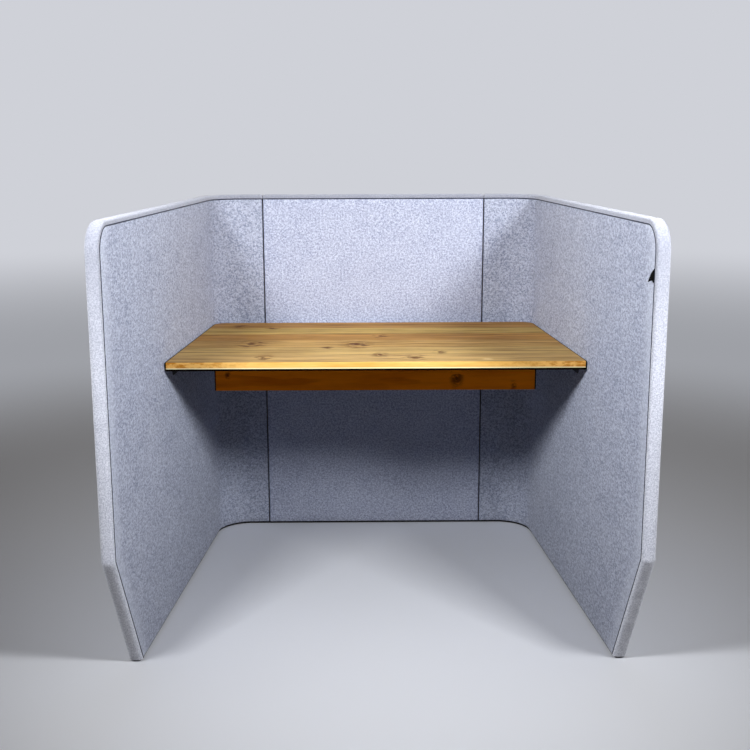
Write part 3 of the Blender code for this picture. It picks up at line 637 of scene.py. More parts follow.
def strip_section(steps=28, bead_steps=9):
    """Bead, squared half round, bead: w across and height out, from the inner seam to the outer one."""
    half = MID_W - STRIP_INSET
    bead = np.linspace(-0.35 * pi, 0.85 * pi, bead_steps)
    bead_w = WELT_W - WELT_R * np.cos(bead)
    bead_h = WELT_R + WELT_R * np.sin(bead)
    angle = np.linspace(0.0, pi, steps + 1)
    power = 2.0 / STRIP_SQUARENESS
    across = half * np.sign(np.cos(angle)) * np.abs(np.cos(angle)) ** power
    crown = STRIP_SIDE + (STRIP_CROWN - STRIP_SIDE) * np.abs(np.sin(angle)) ** power
    w = np.concatenate((bead_w, MID_W - across, (THICKNESS - bead_w)[::-1]))
    return w, np.concatenate((bead_h, crown, bead_h[::-1]))


def wing_path():
    """Stations u, z and the way out: top run, quarter circle, upright front, mitre and slanted toe."""
    corner_u = WING_END - TOP_RADIUS
    corner_z = PANEL_TOP - TOP_RADIUS
    top = merged(spaced(corner_u, STRIP_STEP), np.linspace(0.0, END_ROUND, 9))[:-1]
    angle = np.linspace(pi / 2, 0.0, 17)
    front = np.linspace(corner_z, KINK_HEIGHT, round((corner_z - KINK_HEIGHT) / STRIP_STEP))[1:-1]
    toe = np.linspace(0.01, 0.97, 80)
    mitre = (np.array((1.0, 0.0)) + TOE_OUT) / (1.0 + TOE_OUT[0])
    foot_u = WING_END - TOE_SETBACK
    arc_u = corner_u + TOP_RADIUS * np.cos(angle)
    arc_z = corner_z + TOP_RADIUS * np.sin(angle)
    upright = np.full(front.size + 1, WING_END)
    u = np.concatenate((top, arc_u, upright, WING_END - TOE_SETBACK * toe, [foot_u]))
    level = np.full(top.size, PANEL_TOP)
    toe_z = KINK_HEIGHT - TOE_RISE * toe
    z = np.concatenate((level, arc_z, front, [KINK_HEIGHT], toe_z, [PANEL_BOTTOM]))
    out_u = np.concatenate((np.zeros(top.size), np.cos(angle), np.ones(front.size), [mitre[0]],
                            np.full(toe.size, TOE_OUT[0]), [1.0 / TOE_OUT[0]]))
    out_z = np.concatenate((np.ones(top.size), np.sin(angle), np.zeros(front.size), [mitre[1]],
                            np.full(toe.size, TOE_OUT[1]), [0.0]))
    return u, z, out_u, out_z


section_w, section_h = strip_section()
path_u, path_z, out_u, out_z = wing_path()
print("section points", section_w.size, "stations", path_u.size)

# %% [markdown]
# Where two strips meet, over the joints beside the centre panel, each end is rounded, which leaves the
# small notch that shows in the outline of the back. The padding inside is never quite even, so the crown
# also rises and falls slightly along its length, and puckers follow the stitches near both seams.

# %% Build the strips
LUMP = 0.00035


def end_factor(distance):
    """One beyond the rounded end, falling along a quarter circle to the part left at the end itself."""
    left = 1.0 - np.clip(distance / END_ROUND, 0.0, 1.0)
    return END_LEFT + (1.0 - END_LEFT) * np.sqrt(1.0 - left ** 2)


def strip_shape(along, to_end, seed):
    """Width and height of every section: a rounded end, lumps in the crown and puckers at the seams."""
    factor = end_factor(to_end)[:, None]
    draw = np.random.default_rng(seed)
    lumps = np.zeros(along.size)
    for length in (0.043, 0.071, 0.13, 0.31):
        lumps += LUMP / 2 * np.sin(2 * pi * along / length + draw.uniform(0.0, 2 * pi))
    near_seam = np.exp(-section_h / 0.004)[None, :]
    pucker = PUCKER * near_seam * np.sin(2 * pi * along / STITCH)[:, None]
    h = section_h[None, :] * (factor + lumps[:, None] / STRIP_CROWN)
    side = np.sign(MID_W - section_w)[None, :]
    w = MID_W + (section_w[None, :] - MID_W) * (0.6 + 0.4 * factor) + side * (pucker + PUCKER * near_seam)
    return w, h


def add_strip(name, points, seam):
    """A closed tube: rings of section points, closed underneath by the wrap and capped at both ends."""
    marks = {"seam": seam, "front": np.full(seam.shape, FRONT_HIGHLIGHT_REACH)}
    faces = tube_faces(points)
    piece = add_piece(name + "_felt", points, faces, strip_felt, [name], attributes=marks)
    return piece


strips = []
along = np.concatenate(([0.0], np.cumsum(np.hypot(np.diff(path_u), np.diff(path_z)))))
seam_marks = np.maximum(section_h - 2 * WELT_R, 0.0)
for name, side in SIDES.items():
    w, h = strip_shape(along, along, 30 + side)
    u = np.maximum(path_u[:, None] + out_u[:, None] * (FIT + h), 0.0)
    z = path_z[:, None] + out_z[:, None] * (FIT + h)
    marks = np.broadcast_to(seam_marks, h.shape)
    strips.append(add_strip(f"{name}_wing_edge_strip", on_wing(side, u, w, z), marks))
run = spaced(2 * CENTRE_HALF, STRIP_STEP)
run = merged(run, np.linspace(0.0, END_ROUND, 9), 2 * CENTRE_HALF - np.linspace(0.0, END_ROUND, 9))
w, h = strip_shape(run, np.minimum(run, 2 * CENTRE_HALF - run), 33)
points = on_centre((run - CENTRE_HALF)[:, None], w, PANEL_TOP + FIT + h)
strips.append(add_strip("centre_edge_strip", points, np.broadcast_to(seam_marks, h.shape)))
print("strip points", [len(strip.data.vertices) for strip in strips])

# %% [markdown]
# ## Pine
# The desktop is glued up from boards of plain-sawn pine. Each board was cut from another log, so it has
# its own tint and its rings have their own centre: the distance from a drawn heart line gives the ring
# number, and the late wood at the end of each year is darker. Soft streaks, fine fibres and a hair-thin
# glue line beside each board come from the same group.

# %% Rings group
def make_rings():
    """Ring number: the distance to a heart line, drawn for each board, with a wobble, over a ring width."""
    group, given, result = new_group(
        "pine_rings",
        {"Grain": "vector", "Board width": "number", "Ring width": "number"},
        {"Ring": "number", "Streak": "number", "Fibre": "number", "Glue": "number", "Board": "number"},
    )
    x, y, z = split_place(group, given["Grain"])
    across = calc(group, "DIVIDE", y, given["Board width"])
    board = calc(group, "FLOOR", across)
    local = calc(group, "SUBTRACT", calc(group, "FRACT", across), 0.5)
    drawn = add_node(group, "ShaderNodeTexWhiteNoise", noise_dimensions="1D")
    feed(group, board, drawn.inputs["W"])
    chance = add_node(group, "ShaderNodeSeparateColor")
    feed(group, drawn.outputs["Color"], chance.inputs[0])
    first, second, third = chance.outputs
    heart = calc(group, "SUBTRACT", first, 0.5)
    sideways = calc(group, "MULTIPLY", calc(group, "SUBTRACT", local, heart), given["Board width"])
    tilt = calc(group, "MULTIPLY", calc(group, "SUBTRACT", third, 0.5), 0.05)
    deep = calc(group, "MULTIPLY_ADD", second, 0.05, 0.012)
    deep = calc(group, "ADD", calc(group, "MULTIPLY_ADD", x, tilt, deep), z)
    squares = calc(group, "ADD", calc(group, "POWER", sideways, 2.0), calc(group, "POWER", deep, 2.0))
    radius = calc(group, "SQRT", squares)
    drift = calc(group, "MULTIPLY", board, 7.3)
    shifted = vector_calc(group, "ADD", given["Grain"], drift)
    wobble = calc(group, "SUBTRACT", noise(group, shifted, 1.0, 3.0, 0.55, (2.4, 16.0, 16.0)), 0.5)
    radius = calc(group, "MULTIPLY_ADD", wobble, 0.016, radius)
    year = calc(group, "FRACT", calc(group, "DIVIDE", radius, given["Ring width"]))
    late = calc(group, "MULTIPLY", ramp(group, year, 0.35, 0.9), ramp(group, year, 1.0, 0.93))
    streak = ramp(group, noise(group, shifted, 1.0, 4.0, 0.62, (4.2, 30.0, 30.0)), 0.38, 0.68)
    fibre = noise(group, shifted, 1.0, 4.0, 0.6, (14.0, 420.0, 420.0))
    edge = calc(group, "SUBTRACT", 0.5, calc(group, "ABSOLUTE", local))
    feed(group, late, result["Ring"])
    feed(group, streak, result["Streak"])
    feed(group, board, result["Board"])
    feed(group, fibre, result["Fibre"])
    feed(group, ramp(group, edge, 0.012, 0.004), result["Glue"])
    return group


RINGS = make_rings()
print("ring nodes", len(RINGS.nodes))

# %% [markdown]
# A knot is the foot of a branch. Its own wood is dark and reddish, and the grain parts round it like
# water round a stone, in dark strokes. One group does all this for one knot: it pushes the grain
# coordinate away from the knot's centre and adds the core and the strokes to a mask. Placing it several
# times in a row gives as many knots, each with its own place and size.

# %% Knot group
def make_knot():
    """A dark core, strokes that fade with distance, and grain moved by exp of minus the distance squared."""
    group, given, result = new_group(
        "pine_knot",
        {"Grain": "vector", "Mask": "number", "Centre": "vector", "Size": "number"},
        {"Grain": "vector", "Mask": "number"},
    )
    offset = vector_calc(group, "SUBTRACT", given["Grain"], given["Centre"])
    far = vector_calc(group, "LENGTH", vector_calc(group, "MULTIPLY", offset, (1.4, 1.0, 0.0)))
    far = calc(group, "DIVIDE", far, given["Size"])
    near = calc(group, "EXPONENT", calc(group, "MULTIPLY", calc(group, "POWER", far, 2.0), -1.0))
    scaled = add_node(group, "ShaderNodeVectorMath", operation="SCALE")
    feed(group, vector_calc(group, "MULTIPLY", offset, (0.0, -0.7, 0.0)), scaled.inputs[0])
    feed(group, near, scaled.inputs["Scale"])
    parted = vector_calc(group, "ADD", given["Grain"], scaled.outputs["Vector"])
    feed(group, parted, result["Grain"])
    ragged = calc(group, "SUBTRACT", noise(group, given["Grain"], 45.0, 3.0, 0.6), 0.5)
    ragged = calc(group, "MULTIPLY_ADD", ragged, 0.9, far)
    core = ramp(group, ragged, 0.40, 0.16)
    strokes = ramp(group, noise(group, parted, 1.0, 3.0, 0.55, (24.0, 62.0, 62.0)), 0.46, 0.58)
    strokes = calc(group, "MULTIPLY", strokes, ramp(group, ragged, 1.5, 0.4, 0.0, 0.9))
    feed(group, calc(group, "MAXIMUM", given["Mask"], calc(group, "MAXIMUM", core, strokes)), result["Mask"])
    return group


KNOT = make_knot()
print("knot nodes", len(KNOT.nodes))

# %% [markdown]
# The desktop's knots stand where the real board has them, and a pale rub marks its front. The front edge
# is paler and yellower wood than the top, partly its own colour and partly painted light, and it is mottled
# with amber that turns darker towards its ends as painted shade. A painted highlight runs along its foot,
# and the lip below it and the two slanted ends are painted black as shadow. The top is painted darker
# towards its two ends as shade too. The rail hangs in the shade and is stained a deep red brown, and its
# two ends are painted black as shadow.

# %% Pine materials
DESK_LOW, DESK_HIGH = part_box("desktop")
DESK_HEIGHT = DESK_HIGH.z
DESK_UNDER = DESK_LOW.z
DESK_FRONT_Y = DESK_LOW.y
DESK_REAR_Y = DESK_HIGH.y
RAIL_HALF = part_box("desk_rail")[1].x
BOARD_WIDTH = 0.117
BOARD_TINTS = (
    (240, 203, 134), (244, 209, 134), (236, 193, 118), (224, 170, 93), (242, 207, 120), (222, 170, 95),
)
RING_WIDTH = 0.018
SHADOW_LIP = 0.0062
DESK_KNOTS = (
    (-0.376, 0.156, 0.060), (-0.324, -0.071, 0.036), (-0.055, 0.139, 0.062), (0.020, 0.290, 0.034),
    (0.011, -0.026, 0.034), (0.109, -0.072, 0.042), (0.189, 0.010, 0.028), (-0.145, 0.091, 0.026),
    (-0.335, 0.454, 0.030), (-0.448, 0.488, 0.034),
)
END_SHADE = 0.16
RUB_CENTRE = (0.317, -0.101)
RUB_REACH = (0.022, 0.017)
RAIL_KNOTS = ((0.242, 0.655, 0.026), (0.410, 0.633, 0.014), (-0.439, 0.664, 0.012))


def board_tints(tree, board):
    """One tint for each board, from a ramp of even steps."""
    node = add_node(tree, "ShaderNodeValToRGB")
    steps = node.color_ramp
    steps.interpolation = "CONSTANT"
    for number, tint in enumerate(BOARD_TINTS):
        stop = steps.elements[0] if number == 0 else steps.elements.new(number / len(BOARD_TINTS))
        stop.color = linear(*tint)
    steps.elements.remove(steps.elements[-1])
    feed(tree, calc(tree, "DIVIDE", calc(tree, "ADD", board, 0.5), len(BOARD_TINTS)), node.inputs[0])
    return node.outputs["Color"]


def pine_colour(tree, wood, mask, early, late, knot):
    """Early wood darkened by rings, streaks and fibres towards late wood, with glue lines and knots."""
    fine = calc(tree, "MULTIPLY_ADD", wood["Fibre"], 0.3, calc(tree, "MULTIPLY", wood["Ring"], 0.3))
    fine = calc(tree, "MULTIPLY_ADD", wood["Streak"], 0.36, fine)
    colour = blend_colour(tree, fine, early, late)
    colour = blend_colour(tree, calc(tree, "MULTIPLY", wood["Glue"], 0.3), colour, knot)
    return blend_colour(tree, calc(tree, "MULTIPLY", mask, 0.9), colour, knot)


def wood_normal(tree, wood):
    """Fibres and rings stand a little proud of the softer wood."""
    height = calc(tree, "MULTIPLY_ADD", wood["Fibre"], 0.5, calc(tree, "MULTIPLY", wood["Ring"], 0.3))
    return roughen(tree, height, 0.0004, 0.4)


def shaded_ends(tree, position):
    """Painted shade: the top is darker towards its two ends, where the wings shade it."""
    from_middle = calc(tree, "ABSOLUTE", split_place(tree, position)["X"])
    return ramp(tree, from_middle, 0.15, 0.55, 0.0, END_SHADE)


def rubbed(tree, colour, position):
    """A pale rub near the front edge: an oval of its own reach, ragged along the fibres."""
    offset = vector_calc(tree, "SUBTRACT", position, (*RUB_CENTRE, DESK_HEIGHT))
    oval = vector_calc(tree, "LENGTH", vector_calc(tree, "DIVIDE", offset, (*RUB_REACH, 1.0)))
    ragged = noise(tree, position, 1.0, 2.0, 0.5, (60.0, 260.0, 0.0))
    mark = ramp(tree, calc(tree, "MULTIPLY_ADD", ragged, 1.2, oval), 1.6, 0.9, 0.0, 0.6)
    return blend_colour(tree, mark, colour, linear(250, 222, 160))


def knotted(tree, grain, knots):
    """A chain of knot groups. Each knot is x, across and size."""
    mask = 0.0
    for x, across, size in knots:
        placed = use_group(tree, KNOT, grain=grain, mask=mask, centre=(x, across, 0.0), size=size)
        grain = placed["Grain"]
        mask = placed["Mask"]
    return grain, mask


def front_edge(tree, wood, colour, position):
    """Edge wood, paler in part as painted light, darker amber at its ends as painted shade, a painted
    highlight along its foot, and painted shadow as the black lip and ends.
    """
    x, y, z = split_place(tree, position)
    # Partly painted light: the front edge gets a paler, yellower wood than the top.
    edge = ramp(tree, y, DESK_FRONT_Y + 0.0025, DESK_FRONT_Y + 0.0008)
    drawn = calc(tree, "MULTIPLY_ADD", wood["Streak"], 0.4, calc(tree, "MULTIPLY", wood["Fibre"], 0.6))
    pale = blend_colour(tree, drawn, linear(252, 212, 126), linear(216, 156, 66))
    mottle = ramp(tree, noise(tree, position, 1.0, 3.0, 0.6, (40.0, 90.0, 90.0)), 0.4, 0.62)
    shaded_amber = blend_colour(tree, mottle, linear(252, 196, 108), linear(206, 134, 44))
    # Painted shade: the edge turns to darker amber towards both ends, where the wings shade it.
    pale = blend_colour(tree, ramp(tree, calc(tree, "ABSOLUTE", x), 0.26, 0.58), pale, shaded_amber)
    # Painted highlight: a pale line along the foot of the front edge.
    foot = ramp(tree, z, DESK_UNDER + SHADOW_LIP + 0.0046, DESK_UNDER + SHADOW_LIP + 0.0012, 0.0, 0.9)
    pale = blend_colour(tree, foot, pale, linear(255, 250, 205))
    colour = blend_colour(tree, calc(tree, "MULTIPLY", edge, 0.9), colour, pale)
    # Painted shadow: a black lip under the front edge and black slanted ends.
    lip = ramp(tree, z, DESK_UNDER + SHADOW_LIP + 0.0006, DESK_UNDER + SHADOW_LIP - 0.0006)
    shadowed_ends = add_node(tree, "ShaderNodeAttribute", attribute_name="shadowed_ends").outputs["Fac"]
    shadowed_ends = ramp(tree, shadowed_ends, 0.05, 0.5)
    return blend_colour(tree, calc(tree, "MAXIMUM", lip, shadowed_ends), colour, linear(10, 4, 2))


def desk_pine():
    finish, tree, shader, position = new_material("desk_pine", specular_ior_level=0.02)
    grain, mask = knotted(tree, position, DESK_KNOTS)
    grain = vector_calc(tree, "ADD", grain, (0.0, -DESK_FRONT_Y, -DESK_HEIGHT))
    wood = use_group(tree, RINGS, grain=grain, board_width=BOARD_WIDTH, ring_width=RING_WIDTH)
    early = board_tints(tree, wood["Board"])
    colour = pine_colour(tree, wood, mask, early, linear(118, 72, 22), linear(96, 48, 12))
    # Painted shade: browner towards both ends of the top.
    colour = blend_colour(tree, shaded_ends(tree, position), colour, linear(118, 72, 22))
    colour = rubbed(tree, colour, position)
    feed(tree, front_edge(tree, wood, colour, position), shader["Base Color"])
    feed(tree, ramp(tree, wood["Fibre"], 0.2, 0.8, 0.38, 0.55), shader["Roughness"])
    feed(tree, wood_normal(tree, wood), shader["Normal"])
    return finish


def rail_pine():
    finish, tree, shader, position = new_material("rail_pine", specular_ior_level=0.05)
    x, y, z = split_place(tree, position)
    upright = add_node(tree, "ShaderNodeCombineXYZ")
    for number, value in enumerate((x, z, y)):
        feed(tree, value, upright.inputs[number])
    grain, mask = knotted(tree, upright.outputs[0], RAIL_KNOTS)
    wood = use_group(tree, RINGS, grain=grain, board_width=BOARD_WIDTH, ring_width=RING_WIDTH / 2)
    colour = pine_colour(tree, wood, mask, linear(255, 142, 10), linear(196, 92, 0), linear(70, 24, 0))
    # Painted shadow: the rail's two ends are black.
    end = ramp(tree, calc(tree, "ABSOLUTE", x), RAIL_HALF - 0.0045, RAIL_HALF - 0.0035)
    feed(tree, blend_colour(tree, end, colour, linear(14, 9, 6)), shader["Base Color"])
    feed(tree, ramp(tree, wood["Fibre"], 0.2, 0.8, 0.42, 0.6), shader["Roughness"])
    feed(tree, wood_normal(tree, wood), shader["Normal"])
    return finish


pine_top = desk_pine()
pine_rail = rail_pine()
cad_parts["desk_rail"].data.materials.clear()
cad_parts["desk_rail"].data.materials.append(pine_rail)
print("pine", pine_top.name, pine_rail.name)

# %% [markdown]
# ## Desktop
# The top is a trapezoid that follows the splayed wings, with small front corners and generous rear ones,
# and a rounded arris all round. It is a slab: the outline is drawn once and carried through a section
# that turns a quarter round at the lower and the upper edge. A last ring just inside keeps the flat faces
# flat in the shading.

# %% Desktop
DESK_END_GAP = 0.002
DESK_REAR_RADIUS = 0.040
DESK_FRONT_RADIUS = 0.006
DESK_ARRIS = 0.0022


def fillet(before, corner, after, radius, steps):
    """Arc that touches both sides of a corner, centred on the bisector at radius over sine of half."""
    a = (before - corner) / np.linalg.norm(before - corner)
    b = (after - corner) / np.linalg.norm(after - corner)
    half = np.arccos(np.clip(a @ b, -1.0, 1.0)) / 2
    centre = corner + (a + b) / np.linalg.norm(a + b) * radius / np.sin(half)
    start = corner + a * radius / np.tan(half) - centre
    end = corner + b * radius / np.tan(half) - centre
    share = np.linspace(0.0, 1.0, steps + 1)[:, None]
    sweep = pi - 2 * half
    return centre + (np.sin((1.0 - share) * sweep) * start + np.sin(share * sweep) * end) / np.sin(sweep)


def rounded_outline(corners, radii, steps):
    """A closed outline with each corner turned into an arc."""
    corners = np.array(corners)
    before = np.roll(corners, 1, axis=0)
    after = np.roll(corners, -1, axis=0)
    return np.concatenate(list(map(fillet, before, corners, after, radii, steps)))


def slab(outline, low, high, arris, steps=5):
    """Rings of the outline: in by the arris below, out along a quarter round, up, and in again."""
    ahead = np.roll(outline, -1, axis=0) - np.roll(outline, 1, axis=0)
    outward = np.stack((ahead[:, 1], -ahead[:, 0]), axis=-1) / np.linalg.norm(ahead, axis=1)[:, None]
    angle = np.linspace(0.0, pi / 2, steps + 1)
    inset = arris * (1.0 - np.sin(angle))
    lift = arris * (1.0 - np.cos(angle))
    inset = np.concatenate(([2 * arris], inset, inset[::-1], [2 * arris]))
    level = np.concatenate(([low], low + lift, (high - lift)[::-1], [high]))
    flat = outline[None] - outward[None] * inset[:, None, None]
    points = np.concatenate((flat, np.broadcast_to(level[:, None, None], (*flat.shape[:2], 1))), axis=-1)
    return points, outward


def desk_outline():
    """Four corners at the inner faces of the wings, less the end gap, each with its own radius."""
    gap = DESK_END_GAP / cos(WING_SPLAY)
    half_back = RETURN_X + RETURN_RUN + CORNER_RADIUS * tan(TURN / 2)
    front = half_back + (BACK_Y - DESK_FRONT_Y) * tan(WING_SPLAY) - gap
    rear = half_back + (BACK_Y - DESK_REAR_Y) * tan(WING_SPLAY) - gap
    return rounded_outline(
        [(-front, DESK_FRONT_Y), (front, DESK_FRONT_Y), (rear, DESK_REAR_Y), (-rear, DESK_REAR_Y)],
        [DESK_FRONT_RADIUS, DESK_FRONT_RADIUS, DESK_REAR_RADIUS, DESK_REAR_RADIUS],
        [6, 6, 24, 24],
    )


points, outward = slab(desk_outline(), DESK_UNDER, DESK_HEIGHT, DESK_ARRIS)
# Painted shadow on the slanted ends: one where the outline faces sideways, none on the top ring.
shadowed_ends = np.broadcast_to(np.clip((np.abs(outward[:, 0]) - 0.3) / 0.2, 0.0, 1.0), points.shape[:2]).copy()
shadowed_ends[-1] = 0.0
marks = {"shadowed_ends": shadowed_ends}
faces = tube_faces(points)
desk = add_piece("desktop_board", points, faces, pine_top, ["desktop"], attributes=marks)
print("desktop", np.round(desk.dimensions, 4).tolist())

# %% [markdown]
# ## Black plastic, steel and the other fittings
# The base strips and the glide pads are moulded plastic, the cleats are powder coated, the screws and
# plates are zinc plated. None of them is one even grey: a fine grain scatters the light, and scuffs or
# dull patches vary the roughness. One group gives grain and patches at any scale, and each finish places
# it with its own values.

# %% Grain group and fittings
def make_grain():
    """Patch is broad noise, Grain is fine noise, both from 0 to 1."""
    group, given, result = new_group(
        "surface_grain",
        {"Position": "vector", "Fine scale": "number", "Patch scale": "number"},
        {"Grain": "number", "Patch": "number"},
    )
    feed(group, noise(group, given["Position"], given["Fine scale"], 3.0, 0.6), result["Grain"])
    patch = noise(group, given["Position"], given["Patch scale"], 3.0, 0.55)
    feed(group, ramp(group, patch, 0.3, 0.7), result["Patch"])
    return group


GRAIN = make_grain()


def fitting_material(name, dark, light, rough, fine_scale, patch_scale, bump, **constants):
    """Patches take the colour from dark to light and the roughness across rough. Grain gives the bump."""
    finish, tree, shader, position = new_material(name, **constants)
    surface = use_group(tree, GRAIN, position=position, fine_scale=fine_scale, patch_scale=patch_scale)
    feed(tree, blend_colour(tree, surface["Patch"], linear(*dark), linear(*light)), shader["Base Color"])
    feed(tree, ramp(tree, surface["Patch"], 0.0, 1.0, *rough), shader["Roughness"])
    feed(tree, roughen(tree, surface["Grain"], bump, 0.5), shader["Normal"])
    return finish


base_black = fitting_material("base_black", (16, 16, 18), (26, 26, 28), (0.5, 0.65), 900, 40, 0.0002)
glide_black = fitting_material("glide_black", (20, 20, 20), (34, 34, 34), (0.45, 0.6), 1200, 90, 0.0001)
cleat_black = fitting_material("cleat_black", (24, 24, 26), (38, 38, 40), (0.4, 0.55), 1800, 60, 0.0002)
plywood = fitting_material("plywood", (178, 140, 96), (206, 170, 124), (0.6, 0.75), 500, 20, 0.0003)
zinc = fitting_material(
    "zinc", (176, 178, 182), (208, 208, 206), (0.28, 0.42), 1500, 300, 0.00005, metallic=1.0,
)
brass = fitting_material(
    "brass", (190, 150, 82), (220, 184, 112), (0.25, 0.4), 1500, 200, 0.00005, metallic=1.0,
)
tag_cloth = fitting_material(
    "tag_cloth", (6, 6, 7), (14, 14, 16), (0.8, 0.95), 2600, 700, 0.0003, specular_ior_level=0.1,
)


def finish_nodes(finish, *endings):
    """Gives a finish to every frame node whose name ends in one of the endings."""
    names = [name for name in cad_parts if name.endswith(endings)]
    for name in names:
        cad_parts[name].data.materials.clear()
        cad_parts[name].data.materials.append(finish)
    return len(names)


print("base strips", finish_nodes(base_black, "_base_strip"))
print("glide pads", finish_nodes(glide_black, "_glide_pad"))
print("plates", finish_nodes(zinc, "_hook_plate", "_slot_plate"))
print("cleats", finish_nodes(cleat_black, "_cleat"))
print("inserts", finish_nodes(brass, "_glide_insert"))
print("cores", finish_nodes(plywood, "_core"))

# %% [markdown]
# ## Screws
# Pan-head screws hold the cleats to the wings and to the desktop, and the rail to the desktop. A screw is
# a profile spun about its axis, but two things aren't round: the cross recess in the head and the thread.
# Both are added to the same table of points: the recess lowers the points of the head that lie in one of
# two crossed slots, and the thread makes the radius a sawtooth of height plus angle, so it climbs by its
# pitch in every turn.

# %% Turned pieces
SCREW_R = 0.0025
SCREW_HEAD_R = 0.005
SCREW_HEAD_T = 0.0026
SCREW_POINT = 0.004
SCREW_PITCH = 0.0018
SCREW_THREAD = 0.0005
RECESS_ARM = 0.0026
RECESS_HALF = 0.00065
RECESS_DEPTH = 0.0014
AROUND = 48


def step_down(value, edge, soft):
    """One well inside edge, zero well outside, smooth between."""
    share = np.clip((edge + soft - value) / (2 * soft), 0.0, 1.0)
    return share * share * (3.0 - 2.0 * share)


def spin(radius, level):
    """Table of points: radius and level along the profile, turned through a full circle."""
    angle = np.linspace(0.0, 2 * pi, AROUND, endpoint=False)[None, :]
    level = np.broadcast_to(level, np.broadcast(level, angle).shape)
    return radius * np.cos(angle), radius * np.sin(angle), level


def tooth(level, pitch):
    """Triangle wave of level plus turned angle: 0 at the crest, 1 at the root."""
    turn = np.linspace(0.0, 1.0, AROUND, endpoint=False)[None, :]
    return np.abs(2.0 * np.mod(level / pitch - turn, 1.0) - 1.0)


def screw_points(length):
    """Domed head below zero with a cross recess, then a threaded shank to a point at length."""
    ring = np.linspace(0.02, 1.0, 22)[:, None]
    dome_r = SCREW_HEAD_R * np.sin(ring * pi / 2)
    dome_z = -SCREW_HEAD_T * (0.35 + 0.65 * np.cos(ring * pi / 2))
    shank_z = np.linspace(0.0, length, max(round(length / SCREW_PITCH * 8), 12))[:, None]
    taper = np.clip((length - shank_z) / SCREW_POINT, 0.08, 1.0)
    shank_r = (SCREW_R - SCREW_THREAD * tooth(shank_z, SCREW_PITCH)) * taper
    rim_r = np.full((1, AROUND), SCREW_HEAD_R)
    radius = np.concatenate((np.broadcast_to(dome_r, (dome_r.size, AROUND)), rim_r, shank_r))
    level = np.concatenate((dome_z, [[0.0]], shank_z))
    x, y, z = spin(radius, level)
    arm_x = step_down(np.abs(x), RECESS_ARM, 0.0003) * step_down(np.abs(y), RECESS_HALF, 0.0002)
    arm_y = step_down(np.abs(y), RECESS_ARM, 0.0003) * step_down(np.abs(x), RECESS_HALF, 0.0002)
    recess = RECESS_DEPTH * np.maximum(arm_x, arm_y) * (z < -0.3 * SCREW_HEAD_T)
    return np.stack((x, y, z + recess), axis=-1)


def add_turned(name, points, origin, axis, finish, node, body="booth"):
    """Stands a spun table on origin with its own Z along axis, and caps both ends."""
    turn = np.array(Vector((0.0, 0.0, 1.0)).rotation_difference(Vector(axis)).to_matrix())
    placed = points @ turn.T + np.array(origin)
    return add_piece(name, placed, tube_faces(points), finish, [node], body)


print("recess", RECESS_DEPTH * 1000, "mm deep in a head of", SCREW_HEAD_T * 1000, "mm")

# %% [markdown]
# The upright screws' lengths come from their frame nodes' boxes; those into a wing share one given
# length. Those into the desktop and the rail stand upright, heads down. Those into a wing lie square to
# its face, so their axis comes from two points through the wall.

# %% Place the screws
CLEAT_LEG = 0.03
CLEAT_T = 0.003
CLEAT_FRONT_SETBACK = 0.093
CLEAT_REAR_SETBACK = 0.105
WALL_SCREW_INSET = 0.05
WALL_SCREW_L = CLEAT_T + PAD_T + 3 * FIT + 0.0146


def u_at_depth(y):
    """Run along a wing's inner face at a given y."""
    return ARC_END + (BACK_Y - y) / cos(WING_SPLAY) - CORNER_RADIUS * tan(TURN / 2)


cleat_front = u_at_depth(DESK_FRONT_Y + CLEAT_FRONT_SETBACK)
cleat_rear = u_at_depth(DESK_REAR_Y - CLEAT_REAR_SETBACK)
wall_u = (cleat_rear + WALL_SCREW_INSET, cleat_front - WALL_SCREW_INSET)
wall_z = DESK_UNDER - FIT - (CLEAT_LEG + CLEAT_T) / 2
for name, side in SIDES.items():
    low_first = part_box(f"{name}_wall_screw_1")[0].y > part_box(f"{name}_wall_screw_2")[0].y
    for number, u in enumerate(wall_u if low_first else wall_u[::-1], 1):
        head, beyond = on_wing(side, np.array((u, u)), np.array((-2 * FIT - CLEAT_T, 0.1)), wall_z)
        node = f"{name}_wall_screw_{number}"
        add_turned(node + "_pan", screw_points(WALL_SCREW_L), head, beyond - head, zinc, node)
upright = [f"{name}_desk_screw_{number}" for name in SIDES for number in (1, 2)]
upright += [f"rail_screw_{number}" for number in (1, 2, 3)]
for node in upright:
    low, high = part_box(node)
    middle = (low + high) / 2
    seat = (middle.x, middle.y, low.z + SCREW_HEAD_T)
    add_turned(node + "_pan", screw_points(high.z - seat[2]), seat, (0, 0, 1), zinc, node)
print("screws", 4 + len(upright))

# %% [markdown]
# ## Glide stems
# Each panel stands on its base strip, and two levelling glides are screwed up into it. The stem has a
# real M8 thread: the radius falls by the thread's depth between crests, and the ends are chamfered.

# %% Stems
STEM_PITCH = 0.00125
STEM_THREAD = 0.00065
STEM_CHAMFER = 0.0012


def stem_points(length, radius):
    """Radius less the thread's tooth, held under a chamfer at both ends."""
    level = np.linspace(0.0, length, round(length / STEM_PITCH * 8))[:, None]
    cone = radius - STEM_CHAMFER + np.minimum(level, length - level)
    turned = np.minimum(radius - STEM_THREAD * tooth(level, STEM_PITCH), cone)
    return np.stack(spin(turned, level), axis=-1)


stems = [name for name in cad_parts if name.endswith("_glide_stem")]
for node in stems:
    low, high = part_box(node)
    foot = ((low.x + high.x) / 2, (low.y + high.y) / 2, low.z)
    points = stem_points(high.z - low.z, (high.x - low.x) / 2)
    add_turned(node + "_thread", points, foot, (0, 0, 1), zinc, node, node)
print("stems", len(stems))

# %% [markdown]
# ## Seam tab
# A small black ribbon is caught in the seam of the right wing's front edge. It is bare. Its outline is a
# hanging barb, cut as a thin slab and turned to lean out of the seam.

# %% Seam tab
TAG_DROP = 0.096
TAG_H = 0.036
TAG_REACH = 0.015
TAG_T = 0.0008
TAG_LEAN = radians(40)


